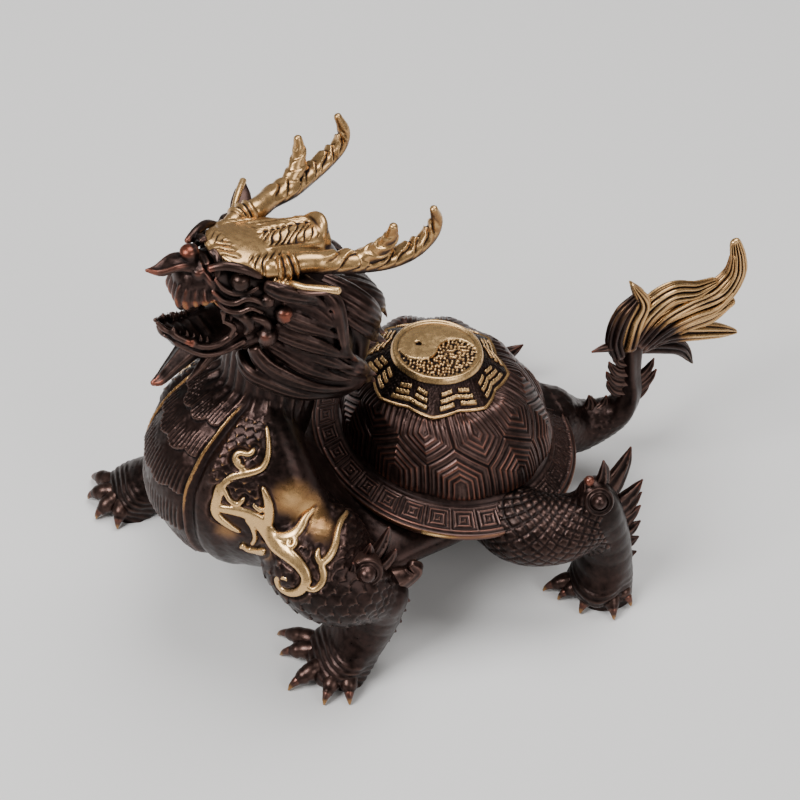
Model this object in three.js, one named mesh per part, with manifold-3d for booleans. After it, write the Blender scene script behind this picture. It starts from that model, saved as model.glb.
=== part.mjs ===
// A cast bronze dragon turtle: a horned dragon's head on a turtle that walks forward,
// with a bagua disc on its shell and a flame tail. One casting, so one solid.
// Millimetres, +Z up; the animal looks along -Y and its left side is +X.
import * as THREE from "three";
import { mergeVertices } from "three/addons/utils/BufferGeometryUtils.js";
import Module from "manifold-3d";

const wasm = await Module();
wasm.setup();

// Driving sizes.
const LENGTH = 201.8; // foremost claw to the tip of the tail
const SHELL_LENGTH = 79;
const SHELL_WIDTH = 90;
const SHELL_RISE = 28.5; // rim plane to the edge of the disc
const SHELL_LEAN = 4.5; // degrees, front edge up
const RIM_THICKNESS = 3.4;
const RING_PANELS = 30;
const PANEL_SINK = 0.5;
const SCUTE_COLUMNS = 10;
const SCUTE_BEVEL = 1.3; // width of the slope beside the groove between two scutes
const SCUTE_LIFT = 0.9;
const DISC_ACROSS = 44.4; // between opposite corners of the octagon
const DISC_RISE = 6.3; // its eight slopes climb to the medallion
const DISC_BORDER = 1.3;
const MEDALLION_ACROSS = 27;
const MEDALLION_THICKNESS = 1.3;
const MEDALLION_BORDER = 1;
const YIN_SINK = 0.6;
const HEAD_YAW = 5; // degrees, the face turned a little to its left

// Poses and carving are shares of the length: 201.8 to the whole, so a share is a millimetre at full size.
const SHARE = LENGTH / 201.8;
const X = new THREE.Vector3(1, 0, 0);
const Y = new THREE.Vector3(0, 1, 0);
const Z = new THREE.Vector3(0, 0, 1);
const SIDES = [1, -1]; // left, right
const at = (x, y, z) => new THREE.Vector3(x, y, z).multiplyScalar(SHARE);
const radians = THREE.MathUtils.degToRad;

// Closed loops of points, and the triangles between them.

// Between two loops of equal count, the first below the second seen from outside.
function band(low, high) {
  return low.flatMap((point, i) => {
    const j = (i + 1) % low.length;
    return [[point, low[j], high[j]], [point, high[j], high[i]]];
  });
}

// Between two loops of unlike count, given with the angle of each point.
function zip(low, high) {
  const triangles = [];
  const angle = (loop, i) => loop[i % loop.length].angle + 360 * Math.floor(i / loop.length);
  let i = 0;
  let j = 0;
  while (i < low.length || j < high.length) {
    const a = low[i % low.length].point;
    const b = high[j % high.length].point;
    const takeLow = j >= high.length || (i < low.length && angle(low, i + 1) <= angle(high, j + 1));
    if (takeLow) {
      i += 1;
      triangles.push([a, low[i % low.length].point, b]);
    } else {
      j += 1;
      triangles.push([a, high[j % high.length].point, b]);
    }
  }
  return triangles;
}

const fan = (loop, centre) => loop.map((point, i) => [point, loop[(i + 1) % loop.length], centre]);
const reversed = (loop) => [...loop].reverse();

function geometryOf(triangles) {
  return new THREE.BufferGeometry().setFromPoints(triangles.flat());
}

function solidOf(geometry) {
  const bare = new THREE.BufferGeometry();
  bare.setAttribute("position", (geometry.index ? geometry.toNonIndexed() : geometry).getAttribute("position"));
  const merged = mergeVertices(bare, 1e-4);
  const corners = merged.index.array;
  const kept = [];
  for (let i = 0; i < corners.length; i += 3) {
    const [a, b, c] = corners.slice(i, i + 3);
    if (a !== b && b !== c && c !== a) kept.push(a, b, c);
  }
  return new wasm.Manifold(new wasm.Mesh({
    numProp: 3,
    vertProperties: new Float32Array(merged.attributes.position.array),
    triVerts: new Uint32Array(kept),
  }));
}

// A closed form through stations [x, y, z, half width, half depth] in shares, smooth between them.
// The half width lies along `across`, carried along the path; a half width of 0 makes a point.
// The rings stand square to the path, or to `facing` where that is given.
function limb(stations, { sides = 8, steps = stations.length - 1, across = X, facing } = {}) {
  const path = new THREE.CatmullRomCurve3(stations.map(([x, y, z]) => at(x, y, z)), false, "centripetal");
  const sizes = new THREE.CatmullRomCurve3(stations.map(([, , , a, b = a]) => at(a, b, 0)), false, "catmullrom", 0.4);
  const least = 0.05 * SHARE;
  const triangles = [];
  let side = across;
  let before = null;
  for (let i = 0; i <= steps; i += 1) {
    const centre = path.getPoint(i / steps);
    const along = facing ?? path.getTangent(i / steps);
    side = side.clone().addScaledVector(along, -side.dot(along)).normalize();
    const depth = along.clone().cross(side);
    const size = sizes.getPoint(i / steps);
    const ring = Array.from({ length: sides }, (_, j) => {
      const angle = 2 * Math.PI * j / sides;
      return centre.clone()
        .addScaledVector(side, size.x * Math.cos(angle))
        .addScaledVector(depth, size.y * Math.sin(angle));
    });
    const pointed = size.x < least;
    if (before === null && !pointed) triangles.push(...fan(reversed(ring), centre));
    if (before !== null && before.pointed) triangles.push(...fan(reversed(ring), before.centre));
    if (before !== null && !before.pointed) {
      triangles.push(...(pointed ? fan(before.ring, centre) : band(before.ring, ring)));
    }
    if (i === steps && !pointed) triangles.push(...fan(ring, centre));
    before = { ring, centre, pointed };
  }
  return geometryOf(triangles);
}

function ball(x, y, z, radius) {
  const place = at(x, y, z);
  return new THREE.IcosahedronGeometry(radius * SHARE).translate(place.x, place.y, place.z);
}

// The chest is the front of an ellipsoid; its own angles are longitude from the front and latitude.
const CHEST = { y: -26, z: 54.6, halfWidth: 38, halfDepth: 56, halfHeight: 40 };

function chestShare(longitude, latitude, lift = 0) {
  const [a, b] = [radians(longitude), radians(latitude)];
  const point = [
    CHEST.halfWidth * Math.sin(a) * Math.cos(b),
    -CHEST.halfDepth * Math.cos(a) * Math.cos(b),
    CHEST.halfHeight * Math.sin(b),
  ];
  const normal = new THREE.Vector3(
    point[0] / CHEST.halfWidth ** 2, point[1] / CHEST.halfDepth ** 2, point[2] / CHEST.halfHeight ** 2).normalize();
  return [point[0] + lift * normal.x, CHEST.y + point[1] + lift * normal.y, CHEST.z + point[2] + lift * normal.z];
}

function torso() {
  const chestRing = (ahead) => {
    const share = Math.sqrt(1 - ahead ** 2);
    return [0, CHEST.y - ahead * CHEST.halfDepth, CHEST.z, CHEST.halfWidth * share, CHEST.halfHeight * share];
  };
  const front = [0.998, 0.955, 0.84, 0.643, 0.41].map(chestRing);
  front[0][3] = 0;
  return limb([
    ...front,
    [0, -43, 50, 35.6, 33],
    [0, -39.5, 43.5, 37, 25],
    [0, -34, 36, 38.5, 16.6],
    [0, -28.5, 30.5, 38.5, 10.4],
    [0, -22, 29, 37.5, 9.6],
    [0, 18, 29.5, 34, 11],
    [0, 40, 29, 24, 9.5],
    [0, 53, 28, 9, 7],
  ], { sides: 14, facing: Y });
}

function neck() {
  return limb([
    [0, -47, 72, 15, 14],
    [0, -43, 88, 14.4, 14],
    [0, -40, 100, 16, 14.5],
    [0, -40, 112, 13, 13],
  ], { sides: 8 });
}

// Five overlapping plates down the front of the chest, each with its lower edge standing out.
function chestPlates() {
  const plate = (edge, halfWidth, halfHeight) => {
    const stations = [-1, 0, 1].map((share) => {
      const round = share === 0 ? 1 : 0.6;
      const latitude = edge + (share === 0 ? 5 : 8.5);
      return [...chestShare(share * halfWidth, latitude, 0.2), halfHeight * round, 1.5 * round];
    });
    const [below, above] = [chestShare(0, edge, 0.7), chestShare(0, edge + 12, -0.7)];
    const down = new THREE.Vector3(...below).sub(new THREE.Vector3(...above));
    return limb(stations, { sides: 4, steps: 4, across: down });
  };
  return [
    plate(42, 16, 4.4),
    plate(29, 17, 4.8),
    plate(12, 18, 5.6),
    plate(-8, 19, 6.4),
    plate(-28, 19, 6),
  ];
}

function chestRidges() {
  return SIDES.map((side) => limb([
    [...chestShare(side * 25, 52, -0.5), 0],
    [...chestShare(side * 24, 41, 0.5), 1.4, 1.6],
    [...chestShare(side * 22, 22, 0.6), 1.5, 1.7],
    [...chestShare(side * 23, 0, 0.4), 1.3, 1.5],
    [...chestShare(side * 22, -32, -0.5), 0],
  ], { sides: 4, across: Z }));
}

// The flame scroll on the left of the chest runs on over the upper arm; the right side has its chest part.
// Each stroke is longitude, latitude, lift off the chest and half width.
const CHEST_SCROLL = [
  [[43, 48, 0.5, 0.5], [47, 42, 1, 1], [48, 35, 1, 1.3], [41, 30, 1, 1.9], [32, 20, 1, 2.2], [35, 6, 1, 1.7],
    [43, 5, 1, 0.5]],
  [[34, 16, 0.5, 1.8], [49, 8, 1, 2.8], [53, -2, 1.5, 2.6]],
  [[53, 2, 1.5, 2.2], [50, 18, 1.5, 1.4], [48, 25, 1, 0]],
];
const ARM_SCROLL = [
  [[53, -3, 2, 3], [58, 0, 7.5, 2.6], [63, -5, 13, 2.2], [61, -9, 13.5, 1.8], [58, -14, 12, 1.5],
    [55, -11, 8.5, 1.2], [58, -7, 10, 0.6]],
  [[57, 2, 4, 2.2], [62, 6, 3, 1.6], [66, 14, 0, 0]],
  [[62, -7, 13, 1], [66, -6, 14.5, 1.4], [68, 2, 8, 1.8], [72, 7, 1, 1.2], [76, 6, -2.5, 0]],
];

function scroll() {
  const stroke = (side) => (stations) => {
    const sized = stations.map(([longitude, latitude, lift, width]) => [
      ...chestShare(side * longitude, latitude, lift), 0.7 * width, 1.2 * width,
    ]);
    return limb(sized, { sides: 4, across: new THREE.Vector3(0.7 * side, -0.6, 0.3) });
  };
  return [
    ...[...CHEST_SCROLL, ...ARM_SCROLL].map(stroke(1)),
    ...CHEST_SCROLL.map(stroke(-1)),
  ];
}

// Shell, in its own frame: +Z is the normal of the rim plane.
const DISC_SHIFT = -5.5 * SHARE; // the top sits forward of the middle of the rim

function planPoint(angle, share, rise) {
  const shift = DISC_SHIFT * (Math.max(rise, 0) / SHELL_RISE) ** 2;
  return new THREE.Vector3(
    SHELL_WIDTH / 2 * share * Math.cos(radians(angle)),
    SHELL_LENGTH / 2 * share * Math.sin(radians(angle)) + shift,
    rise,
  );
}

// The dome swells from the ring to the disc along a quarter of an ellipse; `slope` is the angle along it.
const DOME = { inner: 0.4, reach: 0.38, foot: 0.14 };

function domePoint(angle, slope, lift = 0) {
  const [a, b] = [radians(angle), radians(slope)];
  const share = DOME.inner + DOME.reach * Math.cos(b);
  const rise = SHELL_RISE * (DOME.foot + (1 - DOME.foot) * Math.sin(b));
  const normal = new THREE.Vector3(Math.cos(a) * Math.cos(b), Math.sin(a) * Math.cos(b), Math.sin(b));
  return planPoint(angle, share, rise).addScaledVector(normal, lift);
}

const FIRST_SCUTE = -39; // degrees; where a corner of the scutes points down on the left side
const SCUTE = { foot: 5, low: 31, high: 49, top: 74 }; // slopes of the scutes' corners

// A raised plate: its outline, an inner outline set in by the bevel and lifted, and its middle a little higher.
function scute(outline, middle) {
  const centre = domePoint(...middle);
  const inner = outline.map(([angle, slope]) => {
    const inset = SCUTE_BEVEL / domePoint(angle, slope).distanceTo(centre);
    return domePoint(angle + (middle[0] - angle) * inset, slope + (middle[1] - slope) * inset, SCUTE_LIFT);
  });
  const corners = outline.map(([angle, slope]) => domePoint(angle, slope));
  return [...band(corners, inner), ...fan(inner, domePoint(...middle, 1.3 * SCUTE_LIFT))];
}

function scutes() {
  const step = 360 / SCUTE_COLUMNS;
  return Array.from({ length: SCUTE_COLUMNS }, (_, i) => {
    const a = FIRST_SCUTE + i * step;
    const lower = [
      [a, SCUTE.foot], [a + step / 3, SCUTE.foot], [a + 2 * step / 3, SCUTE.foot], [a + step, SCUTE.foot],
      [a + step, SCUTE.low], [a + 0.5 * step, SCUTE.high], [a, SCUTE.low],
    ];
    const upper = [
      [a, SCUTE.low], [a + 0.5 * step, SCUTE.high], [a + 0.5 * step, SCUTE.top],
      [a - 0.5 * step, SCUTE.top], [a - 0.5 * step, SCUTE.high],
    ];
    return [...scute(lower, [a + step / 2, 23]), ...scute(upper, [a, 57])];
  }).flat();
}

// The ring of sunk square panels between the rim and the dome.
function ringPanels(out, inner) {
  const step = 360 / RING_PANELS;
  return Array.from({ length: RING_PANELS }, (_, i) => {
    const corner = (across, up, sink) => planPoint(
      FIRST_SCUTE + (i + across) * step,
      THREE.MathUtils.lerp(out.share, inner.share, up),
      THREE.MathUtils.lerp(out.rise, inner.rise, up) - sink,
    );
    const outline = [[0, 0], [1, 0], [1, 1], [0, 1]].map(([across, up]) => corner(across, up, 0));
    const floor = [[0.1, 0.08], [0.9, 0.08], [0.9, 0.92], [0.1, 0.92]].map(
      ([across, up]) => corner(across, up, PANEL_SINK));
    return [...band(outline, floor), [floor[0], floor[1], floor[2]], [floor[0], floor[2], floor[3]]];
  }).flat();
}

function shellGeometry() {
  const loop = (count, pointAt) => Array.from({ length: count }, (_, i) => {
    const angle = FIRST_SCUTE + i * 360 / count;
    return { angle, point: pointAt(angle) };
  });
  const points = (loopOf) => loopOf.map(({ point }) => point);
  const rimLoop = (share, rise) => points(loop(RING_PANELS, (angle) => planPoint(angle, share, rise)));
  const panelOut = { share: 0.972, rise: 0.3 * RIM_THICKNESS };
  const panelIn = { share: 0.82, rise: 1.3 * RIM_THICKNESS };
  const under = rimLoop(0.8, -1.2 * RIM_THICKNESS);
  const edge = rimLoop(1, -0.1 * RIM_THICKNESS);
  const crest = rimLoop(panelOut.share, panelOut.rise);
  const swell = loop(RING_PANELS, (angle) => planPoint(angle, panelIn.share, panelIn.rise));
  const foot = loop(3 * SCUTE_COLUMNS, (angle) => domePoint(angle, SCUTE.foot));
  const top = loop(SCUTE_COLUMNS, (angle) => domePoint(angle + 180 / SCUTE_COLUMNS, SCUTE.top));
  return geometryOf([
    ...fan(reversed(under), new THREE.Vector3(0, 0, -1.2 * RIM_THICKNESS)),
    ...band(under, edge),
    ...band(edge, crest),
    ...ringPanels(panelOut, panelIn),
    ...zip(swell, foot),
    ...scutes(),
    ...fan(points(top), new THREE.Vector3(0, DISC_SHIFT, SHELL_RISE)),
  ]);
}

// The disc on top, in the frame of the shell.
const DISC_TURN = -29; // degrees
const discRadius = DISC_ACROSS / 2;
const medallionRadius = MEDALLION_ACROSS / 2;
const cornerShare = (i) => (i % 2 === 0 ? 1 : 0.89); // corners, and the middles of the hollowed sides

function discLoop(inset, rise, radius) {
  return Array.from({ length: 16 }, (_, i) => {
    const angle = radians(DISC_TURN + i * 22.5);
    const reach = radius ?? discRadius * cornerShare(i) - inset;
    return new THREE.Vector3(reach * Math.cos(angle), DISC_SHIFT + reach * Math.sin(angle), SHELL_RISE + rise);
  });
}

function discGeometry() {
  const loops = [
    discLoop(DISC_BORDER, -3 * DISC_BORDER),
    discLoop(0, 0.3 * DISC_BORDER),
    discLoop(DISC_BORDER, 0.5 * DISC_BORDER),
    discLoop(1.2 * DISC_BORDER, 0),
    discLoop(0, DISC_RISE, medallionRadius * 1.01),
  ];
  const middle = (rise) => new THREE.Vector3(0, DISC_SHIFT, SHELL_RISE + rise);
  const triangles = [...fan(reversed(loops[0]), middle(-3 * DISC_BORDER))];
  for (let i = 1; i < loops.length; i += 1) triangles.push(...band(loops[i - 1], loops[i]));
  triangles.push(...fan(loops[loops.length - 1], middle(DISC_RISE)));
  return geometryOf(triangles);
}

// Half of the medallion is sunk inside its border: a comma that fits the other half.
const COMMA_TURN = 235; // degrees, the line through both commas' heads

function medallion() {
  const top = SHELL_RISE + DISC_RISE + MEDALLION_THICKNESS;
  const coin = new THREE.CylinderGeometry(medallionRadius, medallionRadius, 3 * MEDALLION_THICKNESS, 16);
  coin.rotateX(Math.PI / 2).translate(0, DISC_SHIFT, top - 1.5 * MEDALLION_THICKNESS);
  const reach = medallionRadius - MEDALLION_BORDER;
  const arc = (centre, radius, from, to, count) => Array.from({ length: count }, (_, i) => {
    const angle = radians(from + (to - from) * i / count);
    return new THREE.Vector2(centre + radius * Math.cos(angle), radius * Math.sin(angle));
  });
  const comma = new THREE.Shape([
    ...arc(0, reach, 0, 180, 8),
    ...arc(-reach / 2, reach / 2, 180, 360, 5),
    ...arc(reach / 2, reach / 2, 180, 0, 5),
  ]);
  const sink = new THREE.ExtrudeGeometry(comma, { depth: 2 * YIN_SINK, bevelEnabled: false });
  sink.rotateZ(radians(COMMA_TURN)).translate(0, DISC_SHIFT, top - YIN_SINK);
  const [whole, sunk] = posed([coin, sink], shellPose);
  return solidOf(whole).subtract(solidOf(sunk));
}

// Horned head, as carved before it is turned on the neck.
const HEAD_PIVOT = at(0, -40, 0);

function headCore() {
  return [
    limb([
      [0, -25, 112, 7, 7],
      [0, -32, 118, 12, 12],
      [0, -42, 121, 13.8, 13],
      [0, -51, 124.5, 12, 10.5],
      [0, -58, 129.5, 8.6, 7],
      [0, -66.5, 132, 5.6, 5],
    ], { sides: 8 }),
    limb([
      [0, -45, 110.5, 11.4, 7.2],
      [0, -57, 110, 9.6, 4.2],
      [0, -66, 110.8, 7.2, 3.3],
      [0, -73, 115.5, 4.2, 2.2],
      [0, -76, 119.5, 1.2, 1],
    ], { sides: 7 }),
  ];
}

function nose() {
  const nostrils = SIDES.map((side) => ball(side * 3.8, -64, 135, 2.5));
  const flame = limb([
    [0, -65, 136.6, 4.2, 2.6],
    [0, -71.5, 138, 3.2, 1.9],
    [0, -77.5, 139.4, 0],
  ], { sides: 5 });
  // The upper lip flares like a short bell.
  const lip = limb([
    [0, -62, 137, 3.6, 4],
    [0, -63, 132.6, 5.6, 5.6],
    [0, -64, 128.8, 7.8, 7.2],
    [0, -63.5, 127.6, 6.4, 6.2],
  ], { sides: 8 });
  return [ball(0, -65, 139.5, 2.8), ...nostrils, flame, lip];
}

function face() {
  return SIDES.flatMap((side) => [
    ball(side * 9.2, -55, 132.9, 2.9),
    ball(side * 13.4, -49.4, 126, 2.7),
    ball(side * 14.2, -45, 119.8, 3),
    ball(side * 11.8, -50, 112.4, 3.4),
    // The lid ridge runs under the eye; the lip ridge turns at the corner of the mouth and follows the jaw.
    limb([
      [side * 8, -63, 134.5, 0],
      [side * 10, -58, 129.6, 1.9],
      [side * 12, -52, 128.8, 2],
      [side * 12, -47, 131.4, 0],
    ], { sides: 4, across: Z }),
    limb([
      [side * 8, -64, 126, 1.2],
      [side * 11.4, -57.5, 122.4, 2, 1.5],
      [side * 11.6, -54.5, 116, 1.9, 1.5],
      [side * 8.6, -62, 111.6, 1.6, 1.2],
      [side * 3, -73.5, 118, 0.8],
    ], { sides: 4, across: Z }),
  ]);
}

function beard() {
  return [
    limb([
      [0, -65, 109, 4.4, 3.2],
      [0, -72, 104, 3.4, 2.4],
      [0, -79, 99, 1.5, 1.3],
    ], { sides: 6 }),
    ...SIDES.map((side) => limb([
      [side * 4.6, -62, 107.5, 2.6, 2],
      [side * 5.4, -68, 102.5, 1.8, 1.4],
      [side * 4, -71, 99, 0],
    ], { sides: 4 })),
  ];
}

function crown() {
  return [
    limb([
      [0, -58.6, 138.6, 4.4, 1.4],
      [0, -55.5, 137.2, 8.4, 2.8],
      [0, -50, 134.6, 12, 4.2],
      [0, -40, 130.8, 12.6, 5],
      [0, -30, 127.6, 8.6, 5],
    ], { sides: 8 }),
    limb([
      [0, -50, 137, 2.8, 1.4],
      [0, -40, 133.6, 5.2, 3.6],
      [0, -26.8, 129, 7, 4.6],
    ], { sides: 6 }),
    ...SIDES.map((side) => ball(side * 14.4, -45.4, 130.8, 3)),
  ];
}

// The right horn is a little shorter than the left one. Two collars ring the root of each.
function horns() {
  const root = [12.4, -43, 133.6];
  const grown = (stations, side, growth) => stations.map(([x, y, z, ...size]) => {
    const place = [x, y, z].map((value, i) => root[i] + (value - root[i]) * growth);
    return [side * place[0], place[1], place[2], ...size];
  });
  const beam = [
    [10.6, -47.5, 134.2, 2.7],
    [12, -44.2, 134.1, 3],
    [12.2, -43.4, 134.1, 4.2],
    [12.5, -41.6, 134.1, 3.2],
    [12.6, -40.8, 134.1, 4.1],
    [12.8, -38.8, 134.1, 3.1],
    [15.5, -32.8, 133.6, 3],
    [18.3, -24.7, 132.6, 3.4],
    [21.2, -16.9, 132.2, 2.8],
    [22.6, -10.6, 133.8, 2.7],
    [23, -5.7, 137.1, 2.4],
    [23.3, -4, 141, 1.8],
    [24.2, -5.4, 146.6, 1.2],
  ];
  const tine = [
    [18.4, -24.6, 133, 3],
    [20.8, -20.2, 136.3, 2.6],
    [22.8, -17.8, 140.7, 2],
    [23.9, -17.4, 145.6, 1.3],
  ];
  return [[1, 1, 1], [-1, 0.96, 0.9]].flatMap(([side, beamGrowth, tineGrowth]) => [
    limb(grown(beam, side, beamGrowth), { sides: 6 }),
    limb(grown(tine, side, tineGrowth), { sides: 4 }),
  ]);
}

function ears() {
  return SIDES.map((side) => limb([
    [side * 11, -41.4, 129.4, 3.2, 1.8],
    [side * 18.6, -40.6, 131.4, 3.6, 1.6],
    [side * 23, -38.4, 132.8, 2.8, 1.4],
    [side * 27, -35.4, 133.6, 0],
  ], { sides: 4, steps: 3, across: Y }));
}

// Locks of the mane: root, middle and tip of each on the left side, and its half width.
const MANE = [
  [[12, -42, 126], [17.5, -34, 122], [18, -24, 115], 3.6],
  [[13.5, -42, 119.5], [19, -33, 115], [19, -22.5, 106.5], 4],
  [[14, -45, 113], [19.5, -35.5, 107.5], [19.5, -24, 98.5], 4.2],
  [[12.5, -51, 106.5], [18.5, -40.5, 100.5], [19, -27, 91.5], 4.2],
  [[8, -57, 101.5], [16, -47, 95], [17, -33, 86.5], 3.6],
  [[9, -32, 117], [13.5, -25, 110], [13.5, -19.5, 99], 4.4],
  [[11, -34, 103], [15.5, -27, 95], [14, -21.5, 85], 4.4],
];

function mane() {
  const locks = SIDES.flatMap((side) => MANE.map(([root, middle, tip, width]) => limb([
    [side * 0.8 * root[0], root[1], root[2], 0.6 * width, 0.5 * width],
    [side * middle[0], middle[1], middle[2], 1.1 * width, 0.8 * width],
    [side * tip[0], tip[1], tip[2], 0],
  ], { sides: 4, steps: 3, across: Z })));
  const backLock = limb([
    [0, -28, 113, 8, 6],
    [0, -18, 107, 7, 4.6],
    [0, -11, 101.5, 5.6, 3.6],
    [0, -11, 94, 0],
  ], { sides: 5, steps: 4 });
  return [...locks, backLock];
}

// Legs. A toe arches from the palm to a claw on the ground.
function toes(palm, tips, width) {
  return tips.map(([x, y]) => {
    const along = (share, z) => [palm[0] + (x - palm[0]) * share, palm[1] + (y - palm[1]) * share, z];
    return limb([
      [...along(0.34, 4.4), width],
      [...along(0.72, 3.9), 0.9 * width],
      [...along(1, 1.2), 0],
    ], { sides: 4 });
  });
}

function spikes(list) {
  return list.map(([root, tip, width, thick = 0.6 * width]) => limb([
    [...root, width, thick],
    [...tip, 0],
  ], { sides: 4, across: Y }));
}

// A round boss in a ring, like an eye, looking outwards.
function eyeBoss(x, y, z, side, radius) {
  const out = (reach, size) => [x + side * reach * radius, y - 0.3 * reach * radius, z, size * radius];
  return limb([
    out(-1.4, 1.3), out(0.1, 1.35), out(0.15, 0.9), out(0.85, 0.55),
  ], { sides: 6, across: Y });
}

function frontLegs() {
  return [
    limb([
      [20, -48, 52, 8, 8],
      [31, -47.5, 48, 15, 14],
      [39, -44.5, 42, 15, 14],
      [43.5, -40, 38, 13, 12],
      [45.5, -35, 33.5, 9, 9],
    ], { sides: 8, steps: 4, across: Y }),
    limb([
      [46, -31, 33, 8.5, 8],
      [45, -33, 21, 7.6, 7.2],
      [43.5, -38, 9.5, 8, 7],
      [42.8, -44.4, -2, 9.6, 5.8],
    ], { sides: 8 }),
    eyeBoss(51.5, -38.4, 49.6, 1, 3.6),
    ...spikes([
      [[45.3, -32, 35], [46.5, -17.8, 35], 4.6, 4],
      [[45, -39, 46], [48.5, -35.4, 58.4], 3.4],
      [[43, -36, 43], [46.5, -28.5, 60], 4],
      [[46, -27, 30], [47, -22.5, 24.5], 3.8, 1.6],
      [[45.6, -28, 22], [46.4, -25, 15.5], 3.6, 1.6],
      [[44.8, -31, 14], [45.6, -28.6, 7.5], 3.4, 1.6],
    ]),
    ...toes([42.5, -41], [[23.5, -55.5], [31, -58], [44, -61], [53.4, -53.8], [56.6, -47]], 3.1),
    // The right foot is set down a step ahead, so that leg is stretched forward and low.
    limb([
      [-26, -46, 45, 13, 13],
      [-34, -53, 34, 12, 11],
      [-40.5, -61, 23.5, 7.6, 7.6],
    ], { sides: 8, steps: 3, across: Y }),
    limb([
      [-40.5, -59.5, 25, 7.6, 7.4],
      [-43.6, -67.5, 11, 6.6, 6.6],
      [-46.3, -77.6, -2, 8.8, 6],
    ], { sides: 8, steps: 3 }),
    eyeBoss(-45, -55, 36, -1, 3.2),
    ...spikes([
      [[-43, -55, 26], [-44.5, -47, 24], 3.4, 3],
      [[-44, -61, 17], [-45, -56, 10], 3.6, 1.6],
    ]),
    ...toes([-46.5, -76.5], [[-61.9, -83.9], [-54.2, -88.1], [-44.9, -88.8], [-38, -84.2]], 3.1),
  ];
}

function hindLegs() {
  const tips = [[43.6, 25], [48.7, 27.3], [56.4, 30.7], [63, 38.8], [60.6, 46.2]];
  return [
    limb([
      [26, 16, 30, 12, 11],
      [40, 18, 30.5, 11.5, 11],
      [47, 27, 32, 10.5, 10],
      [50, 36.5, 36, 8, 8],
    ], { sides: 9, steps: 4, across: Y }),
    limb([
      [49.6, 36, 48, 4.6, 4.6],
      [49.8, 37.5, 40, 7.6, 7],
      [50, 41.5, 24, 8.2, 7.4],
      [50.5, 43, 10, 8.2, 7.6],
      [50.5, 42, -2, 9.4, 9],
    ], { sides: 8 }),
    eyeBoss(53, 35.6, 46, 1, 3.2),
    ...spikes([
      [[49.5, 34.5, 45], [49.5, 32, 55], 3],
      [[49.5, 36.5, 45], [50, 38.2, 59.6], 3.2],
      [[48.6, 38, 40], [46.5, 50, 58], 4.6],
      [[49.5, 39.5, 34], [50, 52.6, 44], 5],
      [[49.8, 42, 27], [50, 53, 32], 4.6],
      [[50, 44, 19], [51, 53, 19], 3.8],
    ]),
    ...toes([50.5, 42.5], tips, 3.1),
    // The right hind leg is bent lower under the shell; its heel spur points back.
    limb([
      [-26, 19, 26, 11, 10],
      [-38, 24, 22, 11, 9.5],
      [-46, 34, 18.5, 8.6, 8],
      [-48.5, 43, 15, 7, 6.6],
    ], { sides: 8, steps: 3, across: Y }),
    limb([
      [-48.5, 43, 16.5, 7.4, 6.8],
      [-49.5, 46.5, 8, 7.6, 7.2],
      [-50, 46.5, -2, 9.2, 9],
    ], { sides: 8 }),
    eyeBoss(-51, 37, 21, -1, 2.8),
    ...spikes([
      [[-46.5, 47, 10.5], [-40, 62.7, 18.4], 4.2, 3.4],
      [[-48, 48, 14], [-49.5, 54.4, 18], 3],
    ]),
    ...toes([-50, 46], tips.map(([x, y]) => [-x, y + 3.5]), 3.1),
  ];
}

function tail() {
  const stem = limb([
    [0, 48, 26.5, 10.5, 10],
    [1, 58, 19.5, 9, 9],
    [3.6, 65.5, 21, 7, 6.8],
    [6, 71.8, 25.5, 5.4, 5.2],
    [7, 74.2, 33, 4.2, 4],
    [7, 73.8, 42, 3.5, 3.3],
    [7, 73.2, 54, 3.9, 3.6],
  ], { sides: 7 });
  const curls = spikes([
    [[7, 72, 38], [7, 64.4, 43], 2.2, 2],
    [[7, 72, 46], [7, 65.4, 51], 2.2, 1.8],
    [[7, 75, 35.4], [7, 84.6, 37], 2.4, 2],
    [[2.5, 62, 25], [2.5, 62, 32.5], 2.4, 2],
    [[7, 71, 53], [7, 58.8, 56.6], 2, 1.8],
  ]);
  // Flame locks of the tuft: stations with the half width in the plane of the tail.
  const locks = [
    [[7, 73.6, 52, 3.4], [7, 82.4, 59.4, 5], [7, 93.8, 61.2, 5.6], [7, 104.4, 62.4, 5.2], [7, 109.2, 68.6, 3.8],
      [7, 106.9, 83.3, 1.7]],
    [[7, 72.4, 56, 4], [7, 78, 66, 5.4], [7, 85.1, 69.8, 4.6], [7, 94.1, 67.6, 3.4], [7, 101.6, 68.4, 1.2]],
    [[7, 70.4, 55, 3.8], [7, 72.6, 64.6, 3.8], [7, 75, 71.4, 2.6], [7, 70.6, 80.3, 0]],
    [[7, 79, 54, 3], [7, 87.1, 53.2, 3.4], [7, 97.3, 49.8, 3.2], [7, 105.6, 46.6, 2.4], [7, 112.745, 43.4, 0.6]],
    [[7, 77, 52, 3], [7, 85.7, 48.6, 3.2], [7, 92, 44.6, 2.6], [7, 97, 35.7, 0]],
    [[7, 68.6, 52, 2.6], [7, 66.8, 59, 3], [7, 68.8, 68, 3], [7, 74.4, 75, 0.6]],
    [[7, 76, 52, 3.4], [7, 91, 55.4, 4.6], [7, 101.4, 56, 4.2], [7, 109.4, 57.8, 1.6]],
  ];
  const tuft = locks.map((stations, i) => limb(
    stations.map(([x, y, z, width]) => [x + (i % 2 === 0 ? 0.8 : -0.8), y, z, 0.6 * width, width]),
    { sides: 4 },
  ));
  return [stem, ...curls, ...tuft];
}

// Assembly.

function posed(geometries, pose) {
  return geometries.map((geometry) => geometry.applyMatrix4(pose));
}

const headPose = new THREE.Matrix4().makeTranslation(HEAD_PIVOT)
  .multiply(new THREE.Matrix4().makeRotationZ(radians(HEAD_YAW)))
  .multiply(new THREE.Matrix4().makeTranslation(HEAD_PIVOT.clone().negate()));

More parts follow.
